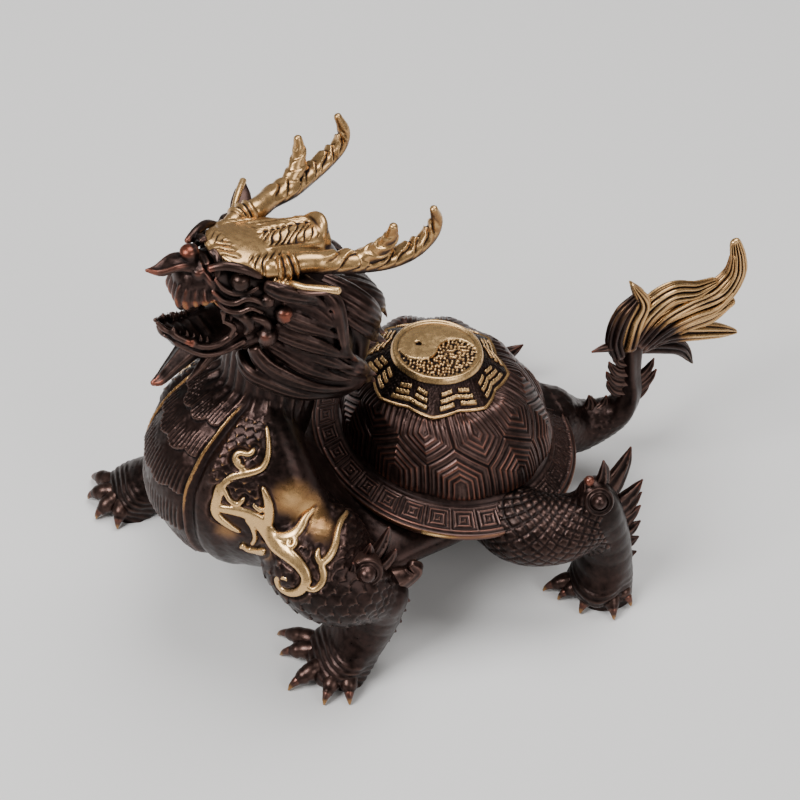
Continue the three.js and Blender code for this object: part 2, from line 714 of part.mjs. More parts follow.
const shellPose = new THREE.Matrix4().makeTranslation(at(0, 12, 36))
  .multiply(new THREE.Matrix4().makeRotationX(radians(-SHELL_LEAN)));

function wholeFigure() {
  const head = [...headCore(), ...nose(), ...face(), ...beard(), ...crown(), ...horns(), ...ears(), ...mane()];
  const geometries = [
    torso(), neck(), ...chestPlates(), ...chestRidges(), ...scroll(),
    ...posed([shellGeometry(), discGeometry()], shellPose),
    ...posed(head, headPose),
    ...frontLegs(), ...hindLegs(), ...tail(),
  ];
  const joined = wasm.Manifold.union([...geometries.map(solidOf), medallion()]);
  const floor = new THREE.BoxGeometry(3 * LENGTH, 3 * LENGTH, LENGTH).translate(0, 0, -LENGTH / 2);
  return joined.subtract(solidOf(floor));
}

function meshGeometry(solid) {
  const { vertProperties, triVerts } = solid.getMesh();
  const geometry = new THREE.BufferGeometry();
  geometry.setAttribute("position", new THREE.BufferAttribute(new Float32Array(vertProperties), 3));
  geometry.setIndex(new THREE.BufferAttribute(new Uint32Array(triVerts), 1));
  return geometry;
}

const bronze = new THREE.MeshStandardMaterial({ color: 0x3a2420, metalness: 0.85, roughness: 0.42 });
const turtle = new THREE.Mesh(meshGeometry(wholeFigure()), bronze);
turtle.name = "dragon_turtle";

// The origin is under the middle of the figure.
turtle.geometry.computeBoundingBox();
const middle = turtle.geometry.boundingBox.getCenter(new THREE.Vector3());
turtle.geometry.translate(-middle.x, -middle.y, 0);

const figure = new THREE.Group();
figure.add(turtle);
export default figure;
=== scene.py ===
import math

import bpy
import numpy as np
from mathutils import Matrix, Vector


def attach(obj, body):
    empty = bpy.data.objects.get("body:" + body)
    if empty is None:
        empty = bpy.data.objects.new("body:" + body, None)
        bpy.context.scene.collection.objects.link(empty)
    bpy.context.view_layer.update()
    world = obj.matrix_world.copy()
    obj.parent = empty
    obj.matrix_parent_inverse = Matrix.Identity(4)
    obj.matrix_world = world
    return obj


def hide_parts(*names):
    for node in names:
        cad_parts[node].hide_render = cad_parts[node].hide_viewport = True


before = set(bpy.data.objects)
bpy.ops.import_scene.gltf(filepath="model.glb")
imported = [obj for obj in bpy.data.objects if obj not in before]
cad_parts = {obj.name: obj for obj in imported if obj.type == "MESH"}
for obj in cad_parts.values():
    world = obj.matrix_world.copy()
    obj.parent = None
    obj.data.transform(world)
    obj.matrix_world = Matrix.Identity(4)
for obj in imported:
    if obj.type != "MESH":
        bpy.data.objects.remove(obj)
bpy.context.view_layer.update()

# Forms are drawn in millimetres, the animal looking along -Y with its left side at +X.
MILLIMETRE = 0.001
MIDDLE_Y = 12.1  # the row's origin lies under the middle of the figure
SIDES = (1, -1)
rad = np.radians


def unit(v):
    """Vectors of length one."""
    return v / np.maximum(np.linalg.norm(v, axis=-1, keepdims=True), 1e-9)


def smooth(x, low, high):
    """0 below low, 1 above high and a soft step between."""
    t = np.clip((x - low) / (high - low), 0, 1)
    return t * t * (3 - 2 * t)


def hermite(p1, p2, m1, m2, w):
    w = w[:, None]
    return ((2 * w ** 3 - 3 * w ** 2 + 1) * p1 + (w ** 3 - 2 * w ** 2 + w) * m1
            + (-2 * w ** 3 + 3 * w ** 2) * p2 + (w ** 3 - w ** 2) * m2)


def spans(points, t):
    """The four points around each t in 0 to 1, and the share of the way between the middle two."""
    q = np.clip(t * (len(points) - 1), 0, len(points) - 1 - 1e-9)
    i = q.astype(int)
    e = np.vstack([2 * points[0] - points[1], points, 2 * points[-1] - points[-2]])
    return e[i], e[i + 1], e[i + 2], e[i + 3], q - i


def path_at(points, t):
    """Points on the curve through the given ones, without loops where they lie close together."""
    p0, p1, p2, p3, w = spans(points, t)

    def gap(a, b):
        return np.maximum(((a - b) ** 2).sum(1) ** 0.25, 1e-4)[:, None]

    g0, g1, g2 = gap(p0, p1), gap(p1, p2), gap(p2, p3)
    m1 = ((p1 - p0) / g0 - (p2 - p0) / (g0 + g1) + (p2 - p1) / g1) * g1
    m2 = ((p2 - p1) / g1 - (p3 - p1) / (g1 + g2) + (p3 - p2) / g2) * g1
    return hermite(p1, p2, m1, m2, w)


def size_at(sizes, t):
    """Half widths along a form, never quite nothing."""
    p0, p1, p2, p3, w = spans(sizes, t)
    return np.maximum(hermite(p1, p2, 0.4 * (p2 - p0), 0.4 * (p3 - p1), w), 0.02)


class Piece:
    """Vertices and faces in millimetres, with how far each vertex is polished and reddened."""

    def __init__(self):
        self.verts, self.faces, self.marks = [], [], []
        self.count = 0

    def add(self, verts, faces, polish=0.0, warm=0.0):
        verts = np.asarray(verts, float).reshape(-1, 3)
        marks = np.stack([np.broadcast_to(np.asarray(m, float).ravel() if np.ndim(m) else m, len(verts))
                          for m in (polish, warm)], axis=1)
        self.verts.append(verts)
        self.marks.append(marks)
        self.faces.extend(np.asarray(f) + self.count for f in faces)
        self.count += len(verts)

    def data(self):
        return np.vstack(self.verts), self.faces, np.vstack(self.marks)

    def sweep(self, stations, **form):
        """Adds a swept form with plain marks."""
        self.add(*sweep(stations, **form)[:2])

    def close(self, rim, centre, turn=1, polish=0.0):
        """Closes a rim of vertices by a fan to a new vertex at the centre."""
        self.faces.append(fan(rim, self.count, turn))
        self.add(centre, [], polish)

    def fused(self, voxel, rounds=1):
        """The vertices and faces of one skin over all that it holds."""
        verts, faces = remeshed(*self.data()[:2], voxel)
        return relaxed(verts, faces, rounds), faces


def fan(rim, centre, turn=1):
    """Triangles from a closed rim to one vertex; turn is -1 where the rim runs clockwise."""
    return np.stack([*(rim, np.roll(rim, -1))[::turn], np.full(len(rim), centre)], 1)


def grid_faces(rows, columns):
    """Quads between rows of vertices that run all the way round."""
    i, j = np.meshgrid(np.arange(rows - 1), np.arange(columns), indexing="ij")
    k = (j + 1) % columns
    return np.stack([i * columns + j, i * columns + k, (i + 1) * columns + k, (i + 1) * columns + j],
                    axis=-1).reshape(-1, 4)


def mesh_of(name, verts, faces):
    """A mesh from vertices and a list of arrays of faces, each with one count of corners."""
    mesh = bpy.data.meshes.new(name)
    loops = np.concatenate([f.ravel() for f in faces]).astype(np.int32)
    counts = np.concatenate([np.full(len(f), f.shape[1]) for f in faces]).astype(np.int32)
    starts = np.concatenate([[0], np.cumsum(counts)[:-1]]).astype(np.int32)
    mesh.vertices.add(len(verts))
    mesh.vertices.foreach_set("co", verts.astype(np.float32).ravel())
    mesh.loops.add(len(loops))
    mesh.loops.foreach_set("vertex_index", loops)
    mesh.polygons.add(len(counts))
    mesh.polygons.foreach_set("loop_start", starts)
    mesh.update(calc_edges=True)
    mesh.validate()
    return mesh


def arrays_of(mesh):
    """A mesh's vertices, and its faces as one array for each count of corners."""
    verts = np.empty(3 * len(mesh.vertices), np.float32)
    mesh.vertices.foreach_get("co", verts)
    counts = np.empty(len(mesh.polygons), np.int32)
    mesh.polygons.foreach_get("loop_total", counts)
    loops = np.empty(len(mesh.loops), np.int32)
    mesh.loops.foreach_get("vertex_index", loops)
    starts = np.concatenate([[0], np.cumsum(counts)[:-1]])
    faces = [loops[starts[counts == n][:, None] + np.arange(n)] for n in np.unique(counts)]
    return verts.reshape(-1, 3).astype(float), faces


def put(name, data):
    """A new object in the scene."""
    item = bpy.data.objects.new(name, data)
    bpy.context.scene.collection.objects.link(item)
    return item


def evaluated(verts, faces, modify):
    """The mesh after the modifiers that `modify` adds."""
    mesh = mesh_of("draft", verts, faces)
    draft = put("draft", mesh)
    modify(draft)
    graph = bpy.context.evaluated_depsgraph_get()
    result = bpy.data.meshes.new_from_object(draft.evaluated_get(graph))
    bpy.data.objects.remove(draft)
    bpy.data.meshes.remove(mesh)
    out = arrays_of(result)
    bpy.data.meshes.remove(result)
    return out


def remeshed(verts, faces, voxel):
    """One closed skin of small squares round all that the faces enclose."""
    def modify(draft):
        m = draft.modifiers.new("remesh", "REMESH")
        m.mode = "VOXEL"
        m.voxel_size = voxel
        m.adaptivity = 0
    return evaluated(verts, faces, modify)


def edges_of(faces):
    return np.vstack([np.stack([f, np.roll(f, -1, axis=1)], axis=-1).reshape(-1, 2) for f in faces])


def relaxed(verts, faces, rounds):
    """The vertices after so many rounds of moving each halfway to the middle of its neighbours."""
    one, two = edges_of(faces).T
    n = len(verts)
    degree = np.bincount(one, minlength=n) + np.bincount(two, minlength=n)
    for _ in range(rounds):
        total = np.stack([np.bincount(one, verts[two, k], n) + np.bincount(two, verts[one, k], n)
                          for k in range(3)], axis=1)
        verts = verts + 0.5 * (total / np.maximum(degree, 1)[:, None] - verts)
    return verts


def normals_of(verts, faces):
    """Unit normals of the vertices, larger faces counting for more."""
    total = np.zeros_like(verts)
    for f in faces:
        p = verts[f]
        n = np.cross(p[:, 2] - p[:, 0], p[:, 3] - p[:, 1]) if f.shape[1] > 3 else np.cross(
            p[:, 1] - p[:, 0], p[:, 2] - p[:, 0])
        for k in range(f.shape[1]):
            for axis in range(3):
                total[:, axis] += np.bincount(f[:, k], n[:, axis], len(verts))
    return unit(total)


def rings_of(stations, rings, across=(1, 0, 0), facing=None, out_from=None):
    """Centres, radii, and the two axes of each ring of a form through [x, y, z, half width, half depth]."""
    s = np.array([list(q) + [q[3]] * (5 - len(q)) for q in stations], float)
    t = np.linspace(0, 1, rings)
    centre = path_at(s[:, :3], t)
    size = size_at(s[:, 3:], t)
    ahead = unit(path_at(s[:, :3], np.clip(t + 1e-3, 0, 1)) - path_at(s[:, :3], np.clip(t - 1e-3, 0, 1)))
    if facing is not None:
        ahead = np.broadcast_to(np.array(facing, float), ahead.shape).copy()
    side = np.empty_like(ahead)
    last = np.array(across, float)
    for i, a in enumerate(ahead):
        last = last - last.dot(a) * a
        last = last / np.linalg.norm(last)
        side[i] = last
    if out_from is not None:
        outward = (centre - out_from) * (1, 1, 0.15)
        side = unit(outward - (outward * ahead).sum(1)[:, None] * ahead)
    depth = np.cross(ahead, side)
    return centre, size, ahead, side, depth


def sweep(stations, around=20, pitch=0.6, across=(1, 0, 0), facing=None, out_from=None, relief=None,
          bulge=0.7, least=6):
    """A closed form through stations, its free ends rounded.

    relief(s, angle, share) gives millimetres outward, where s runs along the form in millimetres.
    Returns vertices, faces, and the s, angle and share of each vertex."""
    s = np.array([list(q) + [q[3]] * (5 - len(q)) for q in stations], float)
    length = np.linalg.norm(np.diff(path_at(s[:, :3], np.linspace(0, 1, 60)), axis=0), axis=1).sum()
    rings = max(least, int(length / pitch) + 1)
    centre, size, ahead, side, depth = rings_of(stations, rings, across, facing, out_from)
    for end in (0, -1):
        if size[end].max() < 0.1:
            continue
        turns = rad(np.array([25, 50, 72, 90]))
        sign = -1 if end == 0 else 1
        reach = sign * bulge * size[end].min() * np.sin(turns)[:, None] * ahead[end]
        extra = [centre[end] + reach, size[end] * np.maximum(np.cos(turns), 0.02)[:, None],
                 np.repeat(ahead[end][None], 4, 0), np.repeat(side[end][None], 4, 0),
                 np.repeat(depth[end][None], 4, 0)]
        grown = []
        for a, b in zip((centre, size, ahead, side, depth), extra):
            grown.append(np.vstack([b[::-1], a]) if end == 0 else np.vstack([a, b]))
        centre, size, ahead, side, depth = grown
    rings = len(centre)
    angle = np.linspace(0, 2 * math.pi, around, endpoint=False)
    c, n = np.cos(angle)[None, :, None], np.sin(angle)[None, :, None]
    a, b = size[:, None, :1], size[:, None, 1:]
    points = centre[:, None] + a * c * side[:, None] + b * n * depth[:, None]
    out = unit(b * c * side[:, None] + a * n * depth[:, None])
    along = np.concatenate([[0], np.cumsum(np.linalg.norm(np.diff(centre, axis=0), axis=1))])
    along = np.broadcast_to(along[:, None], (rings, around))
    share = along / max(along[-1, 0], 1e-6)
    turned = np.broadcast_to(angle[None], (rings, around))
    if relief is not None:
        fade = smooth(np.minimum(share, 1 - share), 0, 0.04) * smooth(size.min(axis=1), 0.1, 1.2)[:, None]
        points = points + out * (relief(along, turned, share) * fade)[:, :, None]
    verts = points.reshape(-1, 3)
    ends = np.array([centre[0], centre[-1]])
    total = len(verts)
    first = np.arange(around)
    caps = np.vstack([fan(first, total, -1), fan(total - around + first, total + 1)])
    verts = np.vstack([verts, ends])
    info = {"s": np.append(along.ravel(), [0, along[-1, 0]]), "angle": np.append(turned.ravel(), [0, 0]),
            "share": np.append(share.ravel(), [0, 1])}
    return verts, [grid_faces(rings, around), caps], info


def flip(stations, side):
    """The stations as drawn where side is 1, and their mirror image where it is -1."""
    return [(side * q[0], *q[1:]) for q in stations]


def ball(x, y, z, radius, around=24):
    """A ball as a short form."""
    return sweep([(x, y, z - 0.3 * radius, radius * 0.95), (x, y, z + 0.3 * radius, radius * 0.95)],
                 around=around, pitch=0.4, bulge=0.72, least=5)


def grooves(count, depth):
    """Lengthwise strands: relief for sweep."""
    def relief(s, angle, share):
        return depth * (1 - 2 * np.abs(np.cos(count * angle))) * smooth(share, 0, 0.1)
    return relief


def scale_relief(u, v, size):
    """Overlapping round scales whose tips point along +v: 0 in the gaps to 1 at the tips."""
    pitch = 0.62 * size
    row = np.floor(v / pitch)
    height = np.zeros_like(u)
    taken = np.zeros(u.shape, bool)
    for step in (-1, 0, 1, 2):
        r = row - step + 1
        du = u / size + 0.5 * np.mod(r, 2)
        du = (du - np.round(du)) * size
        dv = v - r * pitch
        inside = (np.hypot(du, dv) < 0.58 * size) & ~taken & (dv < 0.5 * size)
        lift = 0.35 + 0.65 * (dv / (0.58 * size) + 1) / 2 - 0.5 * (du / size) ** 2
        height = np.where(inside, lift, height)
        taken |= inside
    return height


def near_path(points, stations, across=(1, 0, 0)):
    """For each point: length along the form, angle round it, and distance from its middle over its radius;
    and the form's whole length."""
    samples = 90
    centre, size, ahead, side, depth = rings_of(stations, samples, across)
    best = np.full(len(points), 1e9)
    index = np.zeros(len(points), int)
    for i in range(samples):
        d = ((points - centre[i]) ** 2).sum(1)
        closer = d < best
        best[closer] = d[closer]
        index[closer] = i
    along = np.concatenate([[0], np.cumsum(np.linalg.norm(np.diff(centre, axis=0), axis=1))])
    rel = points - centre[index]
    angle = np.arctan2((rel * depth[index]).sum(1), (rel * side[index]).sum(1))
    slope = (rel * ahead[index]).sum(1)
    return along[index] + slope, angle, np.sqrt(best) / size[index].max(axis=1), along[-1]


# How many vertices of the skin a stroke's point rests on, and how often its line is evened out.
NEAREST, STROKE_ROUNDS = 14, 14


def broad(half_width):
    """Half width of a stroke as cast, from the half width of its middle line as listed."""
    return 0.36 + 0.74 * half_width


def stroke_gap(points, stations):
    """Distance of the points from the edge of a drawn line; large where it is far off."""
    samples, reach = 60, 6
    s = np.array(stations, float)
    t = np.linspace(0, 1, samples)
    line = path_at(s[:, :3], t)
    width = broad(size_at(np.repeat(s[:, 3:4], 2, 1), t)[:, 0])
    gap = np.full(len(points), 1e9)
    low, high = line.min(0) - reach, line.max(0) + reach
    near = np.where(((points > low) & (points < high)).all(1))[0]
    for i in range(samples):
        gap[near] = np.minimum(gap[near], np.linalg.norm(points[near] - line[i], axis=1) - width[i])
    return gap


def laid_on(stations, skin, normals):
    """A rounded stroke that follows the skin under its stations."""
    thickness, sink, around, pitch, reach = 0.8, 0.1, 28, 0.3, 8
    s = np.array(stations, float)
    length = np.linalg.norm(np.diff(path_at(s[:, :3], np.linspace(0, 1, 60)), axis=0), axis=1).sum()
    t = np.linspace(0, 1, max(10, int(length / pitch)))
    line = path_at(s[:, :3], t)
    width = size_at(np.repeat(s[:, 3:4], 2, 1), t)[:, 0]
    low, high = line.min(0) - reach, line.max(0) + reach
    near = np.where(((skin > low) & (skin < high)).all(1))[0]
    foot, out = np.empty_like(line), np.empty_like(line)
    for i, point in enumerate(line):
        close = near[np.argsort(((skin[near] - point) ** 2).sum(1))[:NEAREST]]
        foot[i] = skin[close].mean(0)
        out[i] = normals[close].mean(0)
    out = unit(out)
    line = line + ((foot - line) * out).sum(1)[:, None] * out
    for _ in range(STROKE_ROUNDS):
        line[1:-1] = 0.5 * line[1:-1] + 0.25 * (line[:-2] + line[2:])
        out[1:-1] = 0.5 * out[1:-1] + 0.25 * (out[:-2] + out[2:])
    out = unit(out)
    ahead = unit(np.gradient(line, axis=0))
    side = unit(np.cross(ahead, out))
    taper = np.minimum(np.arange(len(t)), len(t) - 1 - np.arange(len(t))) / 3
    width = broad(width) * np.sqrt(np.clip(taper, 0.02, 1))
    height = np.minimum(thickness + 0.1 * width, 1.1 * width)
    angle = np.linspace(0, 2 * math.pi, around, endpoint=False)
    c, n = np.cos(angle), np.sin(angle)
    body = (np.sign(c) * np.abs(c) ** 0.7)[None, :, None] * width[:, None, None] * side[:, None]
    rise = (np.sign(n) * np.abs(n) ** 0.9)[None, :, None] * height[:, None, None] * out[:, None]
    verts = (line[:, None] - sink * height[:, None, None] * out[:, None] + body + rise).reshape(-1, 3)
    count = len(t)
    verts = np.vstack([verts, line[0], line[-1]])
    first = np.arange(around)
    total = count * around
    faces = [grid_faces(count, around),
             np.vstack([fan(first, total, -1), fan(total - around + first, total + 1)])]
    middle = verts[:-2].reshape(count, around, 3)
    turn = np.cross(middle[1, 1] - middle[1, 0], middle[2, 0] - middle[1, 0])
    if turn.dot(middle[1, 0] - line[1]) > 0:
        faces = [f[:, ::-1] for f in faces]
    return verts, faces


# Chest, as the front of an ellipsoid, with its own longitude and latitude in degrees.
CHEST = np.array([0, -26, 54.6])
CHEST_SIZE = np.array([38, 56, 40.0])


def chest_angles(points):
    """Longitude and latitude on the chest in degrees, and the distance out, 1 on its surface."""
    q = (points - CHEST) / CHEST_SIZE
    reach = np.linalg.norm(q, axis=1)
    return (np.degrees(np.arctan2(q[:, 0], -q[:, 1])),
            np.degrees(np.arcsin(np.clip(q[:, 2] / reach, -1, 1))), reach)


def chest_ring(y):
    """The station of the chest at y."""
    share = math.sqrt(max(0, 1 - ((y - CHEST[1]) / CHEST_SIZE[1]) ** 2))
    return (0, y, CHEST[2], max(CHEST_SIZE[0] * share, 0.02), max(CHEST_SIZE[2] * share, 0.02))


FRONT_TORSO = [chest_ring(y) for y in (-81.99, -81.6, -80.4, -78, -74, -68, -60, -49)] + [
    (0, -43, 50, 35.6, 33), (0, -39.5, 43.5, 37, 25), (0, -34, 36, 38.5, 16.6),
    (0, -28.5, 30.5, 38.5, 10.4), (0, -22, 29, 37.5, 9.6), (0, -16, 29, 37, 9.8)]
REAR_TORSO = [(0, -24, 29, 37.5, 9.6), (0, -16, 29, 37, 9.8), (0, 18, 29.5, 34, 11), (0, 40, 29, 24, 9.5),
              (0, 53, 28, 9, 7)]
NECK = [(0, -47, 72, 15, 14), (0, -43, 88, 14.4, 14), (0, -40, 100, 16, 14.5), (0, -40, 112, 13, 13)]
FRONT_UPPER = [(20, -48, 52, 8, 8), (31, -47.5, 48, 15, 14), (39, -44.5, 42, 15, 14),
               (43.5, -40, 38, 13, 12), (45.5, -35, 33.5, 9, 9)]
FRONT_LOWER = [(46, -31, 33, 8.5, 8), (45, -33, 21, 7.6, 7.2), (43.5, -38, 9.5, 8, 7),
               (42.8, -44.4, -2, 9.6, 5.8)]
STEP_UPPER = [(-26, -46, 45, 13, 13), (-34, -53, 34, 12, 11), (-40.5, -61, 23.5, 7.6, 7.6)]
STEP_LOWER = [(-40.5, -59.5, 25, 7.6, 7.4), (-43.6, -67.5, 11, 6.6, 6.6), (-46.3, -77.6, -2, 8.8, 6)]
HIND_UPPER = [(26, 16, 30, 12, 11), (40, 18, 30.5, 11.5, 11), (47, 27, 32, 10.5, 10), (50, 36.5, 36, 8, 8)]
HIND_LOWER = [(49.6, 36, 48, 4.6, 4.6), (49.8, 37.5, 40, 7.6, 7), (50, 41.5, 24, 8.2, 7.4),
              (50.5, 43, 10, 8.2, 7.6), (50.5, 42, -2, 9.4, 9)]
FAR_UPPER = [(-26, 19, 26, 11, 10), (-38, 24, 22, 11, 9.5), (-46, 34, 18.5, 8.6, 8),
             (-48.5, 43, 15, 7, 6.6)]
FAR_LOWER = [(-48.5, 43, 16.5, 7.4, 6.8), (-49.5, 46.5, 8, 7.6, 7.2), (-50, 46.5, -2, 9.2, 9)]
TAIL_STEM = [(0, 48, 26.5, 10.5, 10), (1, 58, 19.5, 9, 9), (3.6, 65.5, 21, 7, 6.8),
             (6, 71.8, 25.5, 5.4, 5.2), (7, 74.2, 33, 4.2, 4), (7, 73.8, 42, 3.5, 3.3),
             (7, 73.2, 54, 3.9, 3.6)]
FRONT_HAND = [(43.6, -36.5, 15, 8, 7), (42.8, -42, 9.5, 10.4, 5.6), (41.6, -47.5, 5.4, 10.6, 4.2),
              (40.8, -51, 3.4, 9, 3)]
STEP_HAND = [(-43.8, -68, 13, 7, 6.4), (-46, -74, 8.4, 9.4, 5.4), (-48, -79, 5, 9.4, 4),
             (-49, -82, 3.2, 8, 2.8)]
HIND_HAND = [(50.3, 42, 14, 8.6, 8.4), (51, 38.5, 8, 9.6, 6.4), (51.8, 34.5, 4.8, 9, 4.4)]
FAR_HAND = [(-50, 45.5, 12, 8.2, 8), (-50.6, 42, 7.6, 9.4, 6.2), (-51.4, 38, 4.8, 8.8, 4.4)]
# Which half width lies along Y on the bent upper legs.
UPPER_ACROSS = (0, 1, 0)

# The flame scroll: each stroke lists points near the skin and its half width there.
CHEST_SCROLL = [
    [(17.2, -52.1, 83.8, 0.25), (20.9, -53.3, 80.9, 0.45), (22.9, -54.6, 77.5, 0.6),
     (24, -57.1, 75.4, 0.75), (24.3, -61.7, 75.2, 1), (22.7, -65.5, 74, 1.2), (21.7, -69, 71.1, 1.4),
     (22.1, -70.9, 66.7, 1.55), (21.7, -71, 61.2, 1.4), (24.6, -69, 58.2, 0.9), (27, -65.8, 55.4, 0.2)],
    [(23.8, -61.9, 75.9, 0.8), (21.1, -63.2, 76.3, 0.75), (18.5, -62.8, 77, 0.7), (18.5, -61.3, 78.6, 0.65),
     (20, -59.2, 78.1, 0.65), (20.2, -58.1, 78.6, 0.5), (19.8, -57.1, 79.8, 0.25)],
    [(19.3, -63, 76.2, 0.6), (20.2, -62, 76.4, 0.5), (19.4, -61.9, 77.3, 0.35)],
    [(21.6, -70.6, 66.6, 0.9), (20.4, -69, 69, 0.6), (21.6, -67.8, 69.2, 0.45), (23.4, -67.6, 66.8, 0.5),
     (25.3, -65.6, 65.4, 0.6), (25.3, -63.1, 67.8, 0.25)],
    [(22, -71, 63.4, 1.2), (26.7, -66.6, 63.6, 1.7), (28.8, -63.6, 62.6, 2.1), (31, -61, 60.1, 2.5),
     (32.4, -60.2, 56.6, 2.9)],
    [(31.4, -60, 58.8, 2.1), (29.7, -58, 62, 1.6), (28.8, -57.6, 66, 1.25), (27.6, -57.9, 68.9, 0.8),
     (26.1, -58, 70.9, 0.25)],
    [(29, -59.4, 63.6, 0.8), (29.8, -61, 65, 0.65), (28.9, -62, 65.6, 0.5), (28.3, -62.1, 67.1, 0.25)],
    [(28.6, -64.8, 61.8, 0.9), (30, -63.7, 58.5, 0.65), (29.8, -63, 54, 0.5), (28.4, -63.6, 50.4, 0.35)],
]
ARM_SCROLL = [
    [(28.8, -63.6, 62.6, 2.1), (31, -61.4, 60.1, 2.5), (33.2, -60.6, 57.4, 2.8), (36, -59, 56, 2.6),
     (39.6, -56.4, 54.6, 2.3), (42.9, -54.2, 52.5, 1.9), (45.6, -53.9, 50, 1.55), (46.4, -56, 46.8, 1.3),
     (44, -58.9, 44.2, 1.1), (41, -60.1, 44.2, 0.9), (39.6, -60, 46.4, 0.75), (40, -58.4, 48, 0.6),
     (41.9, -57.1, 48.4, 0.45), (42, -57.8, 46.8, 0.35)],
    [(33, -59.4, 57.6, 1.5), (35.4, -57, 58.4, 1.4), (36.6, -53.6, 59.2, 1.6), (35.8, -50.9, 60.4, 1.3),
     (33.6, -48.2, 61.6, 0.75), (32.6, -45.7, 62.8, 0.2)],
    [(36.8, -53.8, 58.6, 0.7), (38.4, -53.4, 57.2, 0.65), (38.8, -54.8, 56.2, 0.6), (37.8, -56, 56.4, 0.5),
     (37, -55.5, 57.4, 0.4), (37.7, -54.7, 57.2, 0.3)],
    [(32.4, -34, 57.4, 0.25), (34.4, -36.4, 57, 0.5), (36.9, -39.6, 57.8, 0.65), (39.6, -42.2, 57.2, 0.7),
     (43, -44.4, 55.8, 0.95), (44.9, -47.1, 54.2, 1.05), (45.7, -49.6, 53.6, 0.9),
     (46.7, -49.4, 51.2, 0.95), (48, -50.6, 49, 0.85), (48, -52.8, 47.4, 0.7), (47, -54.6, 48, 0.55),
     (46.8, -54.4, 49.6, 0.45), (47.6, -53.4, 50, 0.3)],
    [(45.7, -49.4, 53.8, 0.8), (44.6, -50.3, 55.4, 0.65), (42.8, -48.8, 57.6, 0.25)],
    [(33, -61, 52, 1.3), (29.6, -63, 48.4, 0.9), (27.2, -64.4, 47.6, 0.7), (26.2, -65, 49.6, 0.5),
     (25.4, -65.6, 48, 0.35)],
]


def organic(forms, coarse, rounds, fine):
    """One smooth skin over several closed forms, its inner corners filleted."""
    merged = Piece()
    for verts, faces, _ in forms:
        merged.add(verts, faces)
    verts, faces, _ = merged.data()
    if coarse:
        verts, faces = remeshed(verts, faces, coarse)
        verts = relaxed(verts, faces, rounds)
    verts, faces = remeshed(verts, faces, fine)
    return relaxed(verts, faces, 3), faces


def leg_relief(verts, upper, lower, size, diamond):
    """Scales down the upper leg, a smooth shin, and wrinkles over the wrist."""
    s, angle, reach, length = near_path(verts, upper, across=UPPER_ACROSS)
    on_upper = (1 - smooth(reach, 1.35, 1.8)) * smooth(s, 2, 6) * (1 - smooth(s, length + 1, length + 6))
    if diamond:
        u, v = angle * 9 / size, s / size
        a, b = np.mod(u + v, 1) - 0.5, np.mod(u - v, 1) - 0.5
        plate = smooth(0.5 - np.maximum(np.abs(a), np.abs(b)), 0.02, 0.2)
        height = 0.42 * plate * on_upper
    else:
        height = 1.15 * scale_relief(angle * 11, s, size) * on_upper
    s, angle, reach, length = near_path(verts, lower)
    on_lower = (1 - smooth(reach, 1.5, 1.9)) * smooth(s, 3, 8)
    wrinkles = (smooth(s, length - 15, length - 10)
                * (0.5 + 0.5 * np.sin(2 * math.pi * (s + 0.8 * np.cos(3 * angle)) / 2.3)))
    bands = ((1 - smooth(s, length - 15, length - 9))
             * np.abs(np.sin(math.pi * (s + np.cos(angle)) / 5.5)) ** 6)
    height = np.where(on_lower > on_upper, on_lower * (0.28 * wrinkles - 0.12 * bands), height)
    return height


def scroll_trench(verts, strokes):
    """1 beside and under the strokes of the scroll, fading out over a millimetre."""
    gap = np.full(len(verts), 1e9)
    for stations in strokes:
        gap = np.minimum(gap, stroke_gap(verts, stations))
    return 1 - smooth(gap, 0.2, 1.1)


def above_floor(verts):
    return np.maximum(verts, (-np.inf, -np.inf, 0.01))


# Where hands have rubbed the swell of the left shoulder and the foot of the chest: place, reach and amount.
RUBBED = [(31, -51.5, 67.5, 12, 0.85), (35, -48, 63.5, 12, 0.9), (38.5, -46, 59, 9, 0.75),
          (24.5, -69, 55, 9, 0.6), (33, -60.5, 52, 8, 0.6)]


